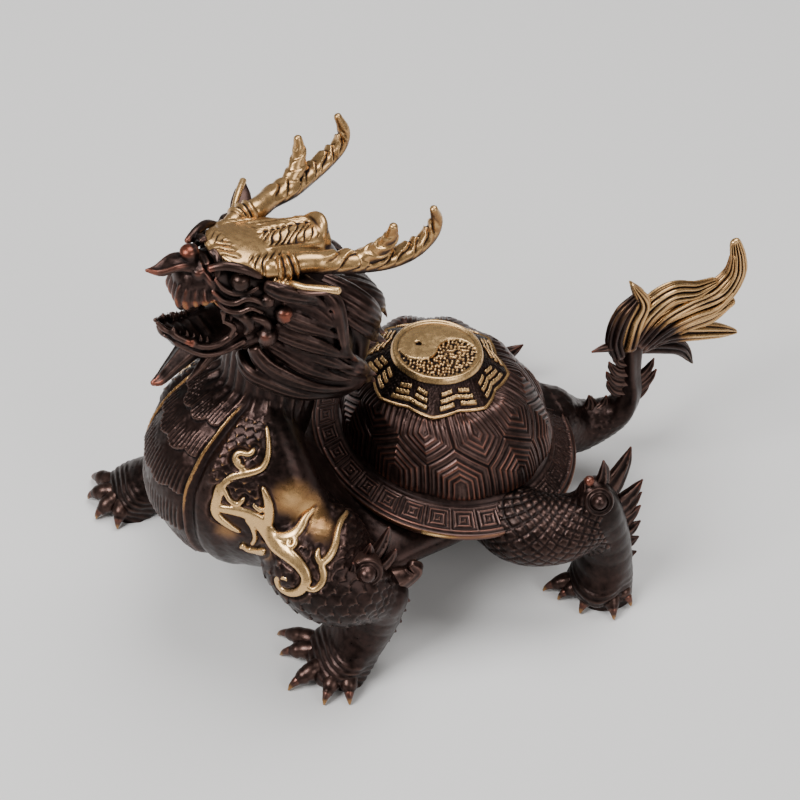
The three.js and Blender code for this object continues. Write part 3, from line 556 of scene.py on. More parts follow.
def front_body():
    """The skin of the chest, neck and forelegs, and the scroll laid on it."""
    forms = [sweep(FRONT_TORSO, around=150, pitch=0.8, facing=(0, 1, 0)),
             sweep(NECK, around=80, pitch=0.8),
             sweep(FRONT_UPPER, around=80, pitch=0.8, across=UPPER_ACROSS),
             sweep(FRONT_LOWER, around=60, pitch=0.8),
             sweep(STEP_UPPER, around=80, pitch=0.8, across=UPPER_ACROSS),
             sweep(STEP_LOWER, around=60, pitch=0.8),
             sweep(FRONT_HAND, around=60, pitch=0.8), sweep(STEP_HAND, around=60, pitch=0.8)]
    verts, faces = organic(forms, 1.1, 9, 0.42)
    normals = normals_of(verts, faces)
    lon, lat, reach = chest_angles(verts)
    on_chest = (1 - smooth(np.abs(reach - 1), 0.05, 0.1)) * (1 - smooth(verts[:, 1], -47, -43))
    height = np.zeros(len(verts))
    polish = np.zeros(len(verts))
    warm = np.zeros(len(verts))
    side = np.abs(lon)
    ridge = np.interp(lat, [-40, -20, 0, 16, 33, 48, 60], [21, 22, 23, 22, 22.8, 24.6, 27])
    # Overlapping plates with scalloped lower edges and fine lengthwise lines.
    edges = np.array([-46, -28, -8, 12, 29, 42, 56.0])
    scallop = 2.2 * np.abs(np.sin(3 * math.pi * lon / 40)) - 3.2 * (lon / 22) ** 2
    level = lat + scallop
    plate = np.searchsorted(edges, level) - 1
    low = edges[np.clip(plate, 0, 5)]
    high = edges[np.clip(plate + 1, 1, 6)]
    share = np.clip((level - low) / (high - low), 0, 1)
    lines = np.cos(2 * math.pi * (lon * 0.62 + 0.35 * plate) / 1.35)
    front = ((1 - smooth(side, ridge - 2.5, ridge - 1)) * on_chest * smooth(lat, -50, -42)
             * (1 - smooth(lat, 60, 66)))
    step = 1.5 * smooth(share, 0, 0.05) * (1 - share) ** 0.8
    height += front * (step - 0.2 * lines * (1 - smooth(share, 0.5, 0.8)))
    # Brass ridges beside the plates, and the smooth swelling behind each.
    off = (side - ridge) * 0.62
    span = smooth(lat, -34, -22) * (1 - smooth(lat, 48, 56)) * on_chest
    crest = np.exp(-(off / 0.6) ** 2) * span
    height += 1.3 * crest - 0.35 * np.exp(-((off - 1.9) / 0.7) ** 2) * span
    swell = (smooth(off, 1.6, 4) * (1 - smooth(off, 6.5, 9.5)) * smooth(lat, -50, -30)
             * (1 - smooth(lat, 30, 44)) * on_chest)
    height += 0.9 * swell
    polish += 0.85 * crest * smooth(lat, -2, 24)
    # Round scales above the scroll and on the shoulders.
    u, v = lon * 0.6, -lat * 0.66
    upper = (smooth(side, 28, 31) * (1 - smooth(side, 44, 48)) * smooth(lat, 21, 25)
             * (1 - smooth(lat, 48, 54)))
    between = (smooth(side, 35, 38) * (1 - smooth(side, 50, 53)) * smooth(lat, 9, 12)
               * (1 - smooth(lat, 24, 27)))
    patch = np.maximum(upper, between) * on_chest
    tiny = scale_relief(u, v, 3.1)
    height += 1.15 * patch * tiny
    polish += 0.72 * patch * smooth(tiny, 0.62, 0.95)
    # The rubbed places are brightest in the middle.
    rubbed_most = np.zeros(len(verts))
    for x, y, z, reach, amount in RUBBED:
        away = np.linalg.norm(verts - np.array((x, y, z)), axis=1)
        rubbed = 1 - smooth(away, 0, reach)
        polish = np.maximum(polish, amount * rubbed)
        warm = np.maximum(warm, 0.5 * rubbed)
        rubbed_most = np.maximum(rubbed_most, rubbed)
    # Neck strands.
    s, angle, near, _ = near_path(verts, NECK)
    on_neck = (1 - smooth(near, 1.1, 1.3)) * smooth(verts[:, 2], 78, 84)
    height += 0.3 * on_neck * np.cos(26 * angle + 0.5 * np.sin(s / 3))
    # Legs.
    left = verts[:, 0] > 0
    outside = (1 - on_chest) * (verts[:, 2] < 66) * (verts[:, 1] < -22)
    arm = leg_relief(verts, FRONT_UPPER, FRONT_LOWER, 3.6, False) * left
    arm += leg_relief(verts, STEP_UPPER, STEP_LOWER, 3.6, False) * ~left
    height += arm * outside * (1 - smooth(rubbed_most, 0.05, 0.4))
    # The skin is cut back a little along the scroll.
    strokes = CHEST_SCROLL + ARM_SCROLL + [flip(stroke, -1) for stroke in CHEST_SCROLL]
    trench = scroll_trench(verts, strokes)
    height = height * (1 - 0.85 * trench) - 0.28 * trench
    polish = polish * (1 - 0.5 * trench)
    grain = 0.05 * (np.sin(verts[:, 0] * 1.9 + 1.3 * np.sin(verts[:, 2] * 1.1))
                    * np.sin(verts[:, 1] * 1.7 + verts[:, 2] * 1.4))
    moved = above_floor(verts + normals * (height + grain)[:, None])
    scroll = Piece()
    for stroke in strokes:
        scroll.add(*laid_on(stroke, verts, normals))
    joined, joined_faces = scroll.fused(0.2, 4)
    bright = np.tile((1.0, 0.0), (len(joined), 1))
    return (moved, faces, np.stack([np.clip(polish, 0, 1), warm], 1)), (joined, joined_faces, bright)


def sunk_of(verts, faces, spread=1):
    """How far each vertex lies below its surroundings within about a millimetre; negative on edges."""
    pairs = edges_of(faces)[::7]
    edge = np.median(np.linalg.norm(verts[pairs[:, 0]] - verts[pairs[:, 1]], axis=1))
    soft = relaxed(verts, faces, int(spread * np.clip(6 * (0.45 / edge) ** 2, 5, 34)))
    normals = normals_of(soft, faces)
    return ((soft - verts) * normals).sum(1)


def rear_body():
    """The skin of the belly, rump, hind legs and tail stem."""
    forms = [sweep(REAR_TORSO, around=120, pitch=1, facing=(0, 1, 0)),
             sweep(TAIL_STEM, around=60, pitch=0.6)]
    for stations, across in ((HIND_UPPER, UPPER_ACROSS), (HIND_LOWER, (1, 0, 0)), (FAR_UPPER, UPPER_ACROSS),
                             (FAR_LOWER, (1, 0, 0)), (HIND_HAND, (1, 0, 0)), (FAR_HAND, (1, 0, 0))):
        forms.append(sweep(stations, around=60, pitch=0.8, across=across))
    verts, faces = organic(forms, 1.0, 7, 0.5)
    normals = normals_of(verts, faces)
    left = verts[:, 0] > 0
    behind = verts[:, 1] > 4
    leg = leg_relief(verts, HIND_UPPER, HIND_LOWER, 3.4, True) * left
    leg += leg_relief(verts, FAR_UPPER, FAR_LOWER, 3.4, True) * ~left
    s, angle, near, _ = near_path(verts, TAIL_STEM)
    on_tail = (1 - smooth(near, 1.2, 1.5)) * (verts[:, 1] > 50)
    root = on_tail * (1 - smooth(s, 24, 32))
    stem = on_tail * smooth(s, 26, 32)
    leg = leg * behind * (1 - on_tail)
    height = leg + 0.5 * root * scale_relief(angle * 8, s, 3.2) + 0.25 * stem * np.cos(5 * angle + 0.12 * s)
    belly = smooth(29 - verts[:, 2], 4, 8) * (np.abs(verts[:, 0]) < 34) * (1 - smooth(verts[:, 1], 40, 50))
    height -= 0.35 * belly * np.exp(-((np.mod(verts[:, 1], 11) - 5.5) / 0.7) ** 2)
    moved = above_floor(verts + normals * height[:, None])
    return moved, faces, np.zeros((len(verts), 2))


# Shell, in its own frame: +Z is the normal of the rim plane.
SHELL_LENGTH, SHELL_WIDTH, SHELL_RISE, SHELL_LEAN = 79, 90, 28.5, 4.5
SHELL_Y, SHELL_Z = 12, 36  # the middle of the rim plane
MEAN_RADIUS = 42  # of the rim, for lengths along the shell
DISC_SHIFT = -5.5  # how far the disc lies ahead of the middle
FIRST_SCUTE = -39  # degrees from the left side
PANEL_STEP, COLUMN_STEP = 12, 36  # degrees of a rim panel and of a column of scutes


def on_shell(p):
    """From the shell's own frame to the figure's."""
    c, s = math.cos(rad(SHELL_LEAN)), math.sin(rad(SHELL_LEAN))
    x, y, z = p[..., 0], p[..., 1], p[..., 2]
    return np.stack([x, y * c + z * s + SHELL_Y, -y * s + z * c + SHELL_Z], axis=-1)


def plan_point(angle, share, rise):
    """A point at an angle in degrees, a share of the way out to the rim and a rise over the rim plane."""
    shift = DISC_SHIFT * (np.maximum(rise, 0) / SHELL_RISE) ** 2
    return np.stack([SHELL_WIDTH / 2 * share * np.cos(rad(angle)),
                     SHELL_LENGTH / 2 * share * np.sin(rad(angle)) + shift, rise], axis=-1)


def grid_normals(points):
    """Outward normals of a grid whose first axis climbs the shell and whose second runs round it."""
    up = np.gradient(points, axis=0)
    round_ = np.roll(points, -1, axis=1) - np.roll(points, 1, axis=1)
    return unit(np.cross(round_, up))


def speckle(x, y, size, seed=3):
    """Irregular rounded grains, 0 between them to 1 on top."""
    rng = np.random.default_rng(seed)
    jitter = rng.random((64, 64, 2))
    i, j = np.floor(x / size).astype(int), np.floor(y / size).astype(int)
    best = np.full(x.shape, 9.0)
    for di in (-1, 0, 1):
        for dj in (-1, 0, 1):
            a, b = i + di, j + dj
            o = jitter[a % 64, b % 64]
            off_x, off_y = x / size - a - 0.2 - 0.6 * o[..., 0], y / size - b - 0.2 - 0.6 * o[..., 1]
            best = np.minimum(best, np.hypot(off_x, off_y))
    return 1 - smooth(best, 0.15, 0.6)


def square_spiral(u, v, pitch):
    """Ridges that wind inwards round a square, 0 to 1; u and v run from -1 to 1."""
    reach = np.maximum(np.abs(u), np.abs(v))
    quarter = np.select([(v >= np.abs(u)), (u >= np.abs(v)), (-v >= np.abs(u))], [0.0, 0.25, 0.5], 0.75)
    wave = np.cos(2 * math.pi * (reach / pitch - quarter))
    return smooth(wave, -0.5, 0.6)


def shell_ring():
    """The rim plate with its panels of square spirals."""
    columns, rows = 1200, 46
    profile = np.array([(0.8, -4.0), (0.955, -2.7), (0.99, -1.7), (1.0, -0.8), (1.0, 0), (0.99, 0.62),
                        (0.972, 1.1), (0.955, 1.45), (0.82, 4.42), (0.803, 4.75), (0.7786, 6.3)])
    spread = np.concatenate([[0], np.cumsum(np.hypot(*(np.diff(profile, axis=0) * (MEAN_RADIUS, 1)).T))])
    at = np.concatenate([np.linspace(0, spread[3], 6, endpoint=False),
                         np.linspace(spread[3], spread[-1], rows - 6)])
    share = np.interp(at, spread, profile[:, 0])
    rise = np.interp(at, spread, profile[:, 1])
    angle = FIRST_SCUTE + np.arange(columns) * 360 / columns
    flat = plan_point(angle[None, :], share[:, None], np.broadcast_to(rise[:, None], (rows, columns)))
    width = at[:, None] - spread[3]  # millimetres inwards from the edge
    normals = grid_normals(flat)
    panels = (angle - FIRST_SCUTE) / PANEL_STEP
    u = 2 * np.mod(panels, 1)[None, :] - 1
    first, last = 2.9, 9.1
    v = 2 * (width - first) / (last - first) - 1
    worn = smooth(np.cos(rad(angle - 95)), 0.1, 0.8)[None, :]  # the rear panels are cast rough
    inside = smooth(1 - np.abs(v), 0, 0.06)
    frame_line = np.maximum(smooth(np.abs(u), 0.87, 0.93), smooth(np.abs(v), 0.9, 0.98) * (np.abs(v) < 1.1))
    spiral = square_spiral(u / 0.86, v / 0.9, 0.42) * (np.abs(u) < 0.84) * (np.abs(v) < 0.88)
    relief = inside * (-0.3 + 0.36 * np.maximum(frame_line, (1 - 0.75 * worn) * spiral))
    x = angle[None, :] * 0.66 + 0 * width
    relief += 0.22 * worn * inside * (speckle(x, width + 0 * x, 0.8) - 0.5)
    relief += 0.22 * np.exp(-((width - 1.1) / 0.38) ** 2) - 0.22 * np.exp(-((width - 1.9) / 0.3) ** 2)
    relief += 0.2 * np.exp(-((width - 2.6) / 0.32) ** 2)
    relief -= 0.2 * smooth(width, 9.3, 10.2) * (1 - smooth(width, 11.5, 12.6))
    moved = flat + normals * (relief * smooth(width, -0.5, 0.5))[:, :, None]
    ahead = 1 - smooth(np.abs(angle[None, :] + 66), 34, 44)
    rub = 0.8 * smooth(width, 0.1, 0.5) * (1 - smooth(width, 1.0, 1.5)) * (0.25 + 0.75 * ahead)
    corner = (np.exp(-((angle[None, :] + 37) / 7) ** 2) * (1 - smooth(width, 0.4, 1.3))
              * smooth(width, -1.6, -0.6))
    piece = Piece()
    piece.add(on_shell(moved), [grid_faces(rows, columns)], polish=rub + 0.9 * corner, warm=0.42)
    piece.close(np.arange(columns), on_shell(np.array([0, 0, profile[0, 1]])), -1)
    return piece


def shell_dome():
    """The dome with its scutes, each stepped inwards by fine ridges."""
    columns, rows = 880, 88
    reach, climb_share = 0.38, 0.86  # of the rim's radius, and of the shell's rise
    slope = np.linspace(1, 84, rows)[:, None]
    angle = (FIRST_SCUTE + np.arange(columns) * 360 / columns)[None, :]
    share = 0.4 + reach * np.cos(rad(slope)) + 0 * angle
    rise = SHELL_RISE * (0.14 + climb_share * np.sin(rad(slope))) + 0 * angle
    flat = plan_point(angle, share, rise)
    normals = grid_normals(flat)
    along = share * MEAN_RADIUS * math.pi / 180  # millimetres per degree round the dome
    climb = np.hypot(reach * MEAN_RADIUS * np.sin(rad(slope)),
                     SHELL_RISE * climb_share * np.cos(rad(slope))) * math.pi / 180  # and up it
    column = np.mod(angle - FIRST_SCUTE, COLUMN_STEP) - COLUMN_STEP / 2
    off = np.abs(column) + 0 * slope
    low, high = 31, 49  # the zigzag seam between the lower and the upper scutes, in degrees of slope
    seam = high - (high - low) * off / (COLUMN_STEP / 2)
    tilt = np.hypot(along, climb * (high - low) / (COLUMN_STEP / 2))
    to_seam = np.abs(slope - seam) * climb * along / tilt
    # Above the seam the scutes stand between the columns below it.
    to_side = np.where(slope < seam, (COLUMN_STEP / 2 - off) * along, off * along)
    edge = np.minimum(to_seam, to_side)
    pitch = 1.62
    step = np.cos(2 * math.pi * (edge - 1.55) / pitch)
    ridges = 0.21 * np.sign(step) * np.abs(step) ** 0.7 * smooth(edge, 1.0, 1.4)
    seam_ridge = 0.28 * np.exp(-((edge - 0.72) / 0.42) ** 2) - 0.36 * np.exp(-(edge / 0.3) ** 2)
    swell = 1.15 * smooth(edge, 0, 7)  # each scute stands up in its middle
    foot = smooth(slope, 3, 7)
    relief = foot * (ridges * (1 - 0.6 * smooth(edge, 8.2, 9.6)) + seam_ridge)
    relief = relief + swell * foot * (1 - smooth(slope, 70, 80))
    moved = flat + normals * relief[:, :, None]
    piece = Piece()
    piece.add(on_shell(moved), [grid_faces(rows, columns)], polish=0.08 + 0.05 * (edge < 1.1), warm=0.5)
    piece.close((rows - 1) * columns + np.arange(columns),
                on_shell(np.array([0, DISC_SHIFT, SHELL_RISE - 0.5])))
    return piece


DISC_TURN, DISC_ACROSS, DISC_RISE = -29, 44.4, 6.3
MEDALLION, COMMA_TURN = 13.5, 235  # radius, and degrees that the comma is turned
# Trigrams in turn round the disc, outer line first; 1 is a whole line and 0 a broken one.
TRIGRAMS = [(0, 1, 0), (1, 1, 0), (1, 1, 1), (0, 1, 1), (1, 0, 1), (0, 0, 1), (0, 0, 0), (1, 0, 0)]


def shell_disc():
    """The eight-sided disc with its trigrams and the round medallion on top."""
    columns, inner_rows, outer_rows, wall_rows = 800, 40, 40, 8
    angle = np.arange(columns) * 360 / columns
    corners = DISC_ACROSS / 2 * np.where(np.arange(17) % 2 == 0, 1, 0.89)
    outline = np.interp(np.mod(angle - DISC_TURN, 360), np.arange(17) * 22.5, corners)
    t = np.concatenate([np.linspace(0.01, 1, inner_rows), 1 + np.linspace(0, 1, outer_rows + 1)[1:]])
    t = t[:, None]
    edge = MEDALLION + 0.25
    radius = np.where(t <= 1, t * edge, edge + (t - 1) * (outline[None] - MEDALLION - 0.25))
    across = angle[None, :] + 0 * radius
    x, y = radius * np.cos(rad(across)), radius * np.sin(rad(across))
    share = np.clip((outline[None] - radius) / (outline[None] - MEDALLION), 0, 1)
    slope_length = np.hypot(outline[None] - MEDALLION, DISC_RISE)
    away = share * slope_length  # millimetres up the slope from the outer edge
    height = DISC_RISE * smooth(share, 0.06, 0.14) * share
    # Border, stippled ground and the bars.
    border = smooth(1.25 - away, 0, 0.3)
    height = height * (1 - border) + border * 0.55
    face = np.mod(across - DISC_TURN, 45) - 22.5
    which = (np.mod(across - DISC_TURN, 360) // 45).astype(int)
    side = radius * np.tan(rad(face)) * np.cos(rad(face))
    ground = (away > 1.3) & (radius > MEDALLION + 0.4)
    height += 0.18 * ground * (speckle(x, y, 0.8, 5) - 0.5)
    polish = 0.85 * border + 0.22 * ground
    lines = np.array(TRIGRAMS)[which]
    for row, (middle, half) in enumerate(((2.45, 5.9), (4.45, 5.2), (6.4, 4.5))):
        rise_in = smooth(0.68 - np.abs(away - middle), 0, 0.22) * smooth(half - np.abs(side), 0, 0.3)
        whole = lines[..., row] == 1
        rise_in = np.where(whole, rise_in, rise_in * smooth(np.abs(side) - 0.75, 0, 0.3)) * ground
        height += 0.8 * rise_in
        trench = (smooth(1.1 - np.abs(away - middle), 0, 0.3) * smooth(half + 0.4 - np.abs(side), 0, 0.3)
                  * (1 - rise_in))
        height -= 0.2 * trench * ground
        polish = np.maximum(polish * (1 - trench), rise_in)
    # The medallion: a raised ring round a polished comma and a stippled one.
    top = DISC_RISE + 1.3
    turn = rad(COMMA_TURN)
    a, b = x * math.cos(turn) + y * math.sin(turn), -x * math.sin(turn) + y * math.cos(turn)
    reach = 11.6
    head = reach / 2 - np.hypot(a + reach / 2, b)
    other = np.hypot(a - reach / 2, b) - reach / 2
    sunk = np.minimum(reach - radius, np.maximum(head, np.minimum(b, other)))
    flat = radius < MEDALLION + 0.3
    dish = smooth(sunk, -0.05, 0.3)
    grain = speckle(a * 1.2, b, 1.3, 11)
    ring = np.exp(-((radius - 12.75) / 0.55) ** 2) * 0.45 - 0.3 * np.exp(-((radius - 11.9) / 0.28) ** 2)
    dot = 1 - smooth(np.hypot(x + 4.2, y + 4.2), 0.55, 1.1)
    eye = 1 - smooth(np.hypot(x - 3.9, y - 5.4), 0.5, 1.0)
    coin = top - 0.7 * dish + 0.5 * dish * grain + ring - 0.9 * dot + 0.3 * eye * dish
    coin += 0.35 * (1 - dish) * smooth(reach - radius, 0, 5)
    coin -= 1.3 * smooth(radius, MEDALLION - 0.15, MEDALLION + 0.2)
    height = np.where(flat, coin, height)
    polish = np.where(flat, 1 - 0.5 * dish * (1 - grain) - 0.8 * dot, polish)
    top_points = np.stack([x, y + DISC_SHIFT, SHELL_RISE + height], -1)
    drop = np.linspace(0, 1, wall_rows + 1)[1:, None]
    wall_r = outline[None] - 1.6 * drop ** 1.5
    wall = np.stack([wall_r * np.cos(rad(angle)), wall_r * np.sin(rad(angle)) + DISC_SHIFT,
                     SHELL_RISE + 0.5 - 4.6 * drop + 0 * wall_r], -1)
    points = np.concatenate([wall[::-1], top_points[::-1]])
    marks = np.concatenate([0.12 + 0 * wall[..., 0], polish[::-1]])
    piece = Piece()
    piece.add(on_shell(points), [grid_faces(len(points), columns)], polish=marks, warm=0.1)
    foot, last = np.arange(columns), (len(points) - 1) * columns + np.arange(columns)
    piece.close(last, on_shell(np.array([0, DISC_SHIFT, SHELL_RISE + top + 0.3])), polish=1)
    piece.close(foot, on_shell(np.array([0, DISC_SHIFT, SHELL_RISE - 4])), -1, polish=1)
    return piece


# Head, drawn as if the animal looked straight ahead, then turned on the neck.
HEAD_YAW = 5  # degrees to its left
NECK_Y = -40  # where it turns


def turned(verts):
    """The vertices of the head as it is held."""
    c, s = math.cos(rad(HEAD_YAW)), math.sin(rad(HEAD_YAW))
    y = verts[:, 1] - NECK_Y
    return np.stack([verts[:, 0] * c - y * s, verts[:, 0] * s + y * c + NECK_Y, verts[:, 2]], 1)


SKULL = [(0, -25, 112, 7, 7), (0, -32, 118, 12, 12), (0, -42, 121, 13.8, 13), (0, -51, 124.5, 12, 10.5),
         (0, -58, 129.5, 8.6, 7), (0, -66.5, 132, 5.6, 5)]
JAW = [(0, -45, 110.5, 11.4, 7.2), (0, -57, 110, 9.6, 4.2), (0, -66, 110.8, 7.2, 3.3),
       (0, -73, 115.5, 4.2, 2.2), (0, -76, 119.5, 1.2, 1)]
LIP = [(0, -62, 137, 3.6, 4), (0, -63, 132.6, 5.4, 5.4), (0, -63.9, 129.4, 7.2, 6.8),
       (0, -63.9, 127.9, 7.8, 7.3), (0, -63.6, 127.2, 6.2, 5.8)]
# Left side of the face, each form with its count of corners round it; all are mirrored.
FACE = [
    # The lids and the two S ridges below them.
    ([(7.4, -61.5, 134.6, 0.5), (8.4, -60, 131.6, 0.8), (9.6, -57.6, 129.8, 0.9), (10.9, -54.4, 129.4, 0.9),
      (11.8, -51.6, 130.6, 0.6)], 14),
    ([(6.4, -62.4, 138, 1), (8, -59, 138.6, 1.3), (10.4, -55, 137.6, 1.3), (12.2, -51, 134.6, 0.9)], 14),
    ([(7.4, -62.6, 131, 0.6), (8.6, -60.4, 127.6, 0.9), (10.2, -57.8, 126.8, 0.9), (11.8, -55, 128.2, 0.8),
      (13, -52.6, 127.4, 0.8), (13.6, -50.8, 125.4, 0.6)], 14),
    ([(7.6, -62.2, 127.2, 0.5), (9.4, -59.6, 124.4, 0.8), (11.2, -57, 124, 0.8), (12.6, -54.4, 125.2, 0.7),
      (13.4, -51.6, 123, 0.5)], 12),
    # The shiny fold of the cheek, the fangs' gum and the corner of the mouth.
    ([(9.2, -58.6, 123, 0.8), (11.2, -56.2, 122, 1.5), (11.6, -54.6, 118.4, 1.5),
      (10.8, -55.6, 115.4, 0.7)], 16),
    ([(12.2, -54, 121.4, 0.8), (13.2, -51, 119.4, 1.3), (13, -50, 116.4, 1.1),
      (11.8, -52.4, 114.6, 0.6)], 14),
    ([(8.6, -60.6, 120.4, 0.6), (9.6, -58.4, 118, 0.9), (9.2, -59.4, 115, 0.7)], 12),
    ([(8.4, -57.4, 114.6, 0.9), (7.8, -62, 112.4, 1.1), (7, -66.4, 112.8, 1.1), (5.4, -70.4, 115.4, 1),
      (3, -74, 118.4, 0.9), (0.6, -76.3, 121, 0.6)], 14),
    ([(9.4, -55.6, 111.4, 0.9), (8.4, -61.4, 109.6, 0.9), (7.4, -66.6, 110.2, 0.9), (5, -71.4, 113.4, 0.8),
      (2, -75, 117, 0.6)], 12),
    # Wrinkles of the snout.
    ([(4.4, -63.6, 136.4, 0.8), (6, -62.4, 133.2, 1.1), (6.8, -61.4, 130, 0.9)], 12),
    ([(2.6, -59.6, 140, 1), (5.4, -59.2, 138.2, 1.3), (6.6, -60.6, 135, 0.9)], 12),
]
# The eye, the bosses of the cheek and jaw, the lip's corner and the nostril.
FACE_BALLS = [(9.6, -55.4, 133, 2.7), (13.3, -49.6, 126.4, 1.9), (14.4, -45.6, 120.6, 2.7),
              (12.6, -50.2, 113.2, 2.8), (6, -69, 114.6, 1.3), (3.6, -64.4, 135.4, 2)]


def lip_folds(s, angle, share):
    """Ribs that fan out towards a wavy edge."""
    flare = smooth(share, 0.15, 0.7)
    return flare * (0.8 * np.abs(np.sin(9 * angle)) + 0.8 * np.cos(5 * angle + 0.8) * share ** 2 - 0.4)


# The horn of the nose: its middle and its left edge.
NOSE = [(0, -65, 136.4, 4, 2.2), (0, -69.5, 138.2, 3.2, 1.5), (0, -73.6, 137.4, 2, 1),
        (0, -77.4, 139.4, 0.5)]
NOSE_EDGE = [(2.2, -64.6, 137, 1.1), (2.4, -69, 138.6, 0.9), (1, -74.6, 138.2, 0.7), (0, -77.4, 139.6, 0.3)]
# A smooth fan under the chin that narrows to a turned-up tip, and the left one of its side locks.
BEARD = [(0, -64, 109.6, 4.8, 3), (0, -68.6, 106.4, 3.9, 2.4), (0, -73.6, 102.6, 2.7, 1.8),
         (0, -77.4, 99.8, 1.8, 1.3), (0, -79.4, 99.6, 0.9, 0.8)]
SIDE_BEARD = [(4.6, -62, 108.4, 2.2, 1.6), (5.2, -67, 104, 1.3, 1.1), (4.2, -71, 99.6, 0.4)]
# Rubbed points of the head, left side: place and reach.
RED_POINTS = [(0, -66, 141, 4), (0, -77, 139, 4), (0, -79, 99.5, 4.5), (16, -46, 121, 3.2),
              (13.5, -51, 114, 2.5), (6, -70, 115, 2.2)]


def head():
    """Skull, jaws, face, teeth and beard as one skin."""
    forms = [sweep(SKULL, around=60, pitch=0.7), sweep(JAW, around=50, pitch=0.6)]
    fine = Piece()
    fine.add(*organic(forms, 0.9, 4, 0.6))
    fine.sweep(LIP, around=120, pitch=0.3, relief=lip_folds, bulge=0.1)
    fine.add(*ball(0, -65, 139.5, 2.7, 30)[:2])
    for stations in (NOSE, NOSE_EDGE, flip(NOSE_EDGE, -1)):
        fine.sweep(stations, around=24, pitch=0.4)
    for side in SIDES:
        for stations, around in FACE:
            fine.sweep(flip(stations, side), around=around, pitch=0.4, across=(0, 0, 1))
        for x, y, z, r in FACE_BALLS:
            fine.add(*ball(side * x, y, z, r, 30)[:2])
        # Teeth along the lower jaw, and two fangs behind the lip.
        teeth = [[(6.6 - 3.2 * w, -65 - 8 * w, 112.6 + 4.6 * w, 0.8),
                  (6.3 - 3.2 * w, -64.8 - 8 * w, 115 + 4.6 * w, 0.2)]
                 for w in np.linspace(0, 1, 6)]
        fangs = [[(8.6, y, z + 1.6, 0.9), (8.8, y - 0.4, z - 2.2, 0.25)]
                 for y, z in ((-60.6, 122), (-58.4, 121))]
        for stations in teeth + fangs:
            fine.sweep(flip(stations, side), around=10, pitch=0.3)
    fine.sweep(BEARD, around=40, pitch=0.5, relief=grooves(3, 0.25))
    for side in SIDES:
        fine.sweep(flip(SIDE_BEARD, side), around=20, pitch=0.4, relief=grooves(2, 0.2))
    verts, faces = fine.fused(0.27)
    normals = normals_of(verts, faces)
    x, y, z = verts.T
    tongue = (smooth(-y, 60, 63) * smooth(z, 110, 111.5) * (1 - smooth(z, 119, 121))
              * (1 - smooth(np.abs(x), 3.5, 5)))
    brow = (smooth(z, 134, 136) * smooth(-y, 57, 59) * (1 - smooth(-y, 63, 64.5))
            * (1 - smooth(np.abs(x), 4.4, 6)))
    wrinkles = 0.25 * tongue * np.cos(1.9 * y) + 0.2 * brow * np.cos(2.6 * y + 0.5 * np.abs(x))
    verts = verts + normals * wrinkles[:, None]
    warm = np.zeros(len(verts))
    for cx, cy, cz, reach in RED_POINTS:
        d = np.sqrt((np.abs(x) - cx) ** 2 + (y - cy) ** 2 + (z - cz) ** 2)
        warm = np.maximum(warm, 1 - smooth(d, 0.3 * reach, reach))
    # The edge of the upper lip is rubbed most, and the rest of it a little.
    out = np.hypot(x, 1.05 * (y + 63.9))
    rim = smooth(out, 6.4, 7.3) * (1 - smooth(out, 8.4, 8.8)) * smooth(-y, 59.5, 61)
    rim *= smooth(z, 125.8, 126.6) * (1 - smooth(z, 128.4, 129.8))
    bell = 0.5 * smooth(-y, 60, 62) * smooth(z, 125.5, 126.5)
    piece = Piece()
    piece.add(turned(verts), faces, polish=0.3 * rim, warm=np.maximum(np.maximum(warm, rim), bell))
    return piece


CROWN = [(0, -58.6, 138.6, 4.4, 1.4), (0, -55.5, 137.2, 8.4, 2.8), (0, -50, 134.6, 12, 4.2),
         (0, -40, 130.8, 12.6, 5), (0, -30, 127.6, 8.6, 5)]
CREST = [(0, -50, 137, 2.8, 1.4), (0, -40, 133.6, 5.2, 3.6), (0, -31, 130.8, 6.6, 4.6),
         (0, -26.8, 129, 7, 4.6)]
CREST_LIP = [(-4.6, -27.8, 132.6, 1), (-2.4, -26.4, 134.2, 1.3), (0, -26, 134.8, 1.4),
             (2.4, -26.4, 134.2, 1.3), (4.6, -27.8, 132.6, 1)]


def leaf(phase):
    """Overlapping leaves: each rises slowly and drops off sharply, 0 to 1."""
    part = np.mod(phase, 1)
    return part * (1 - smooth(part, 0.86, 1))


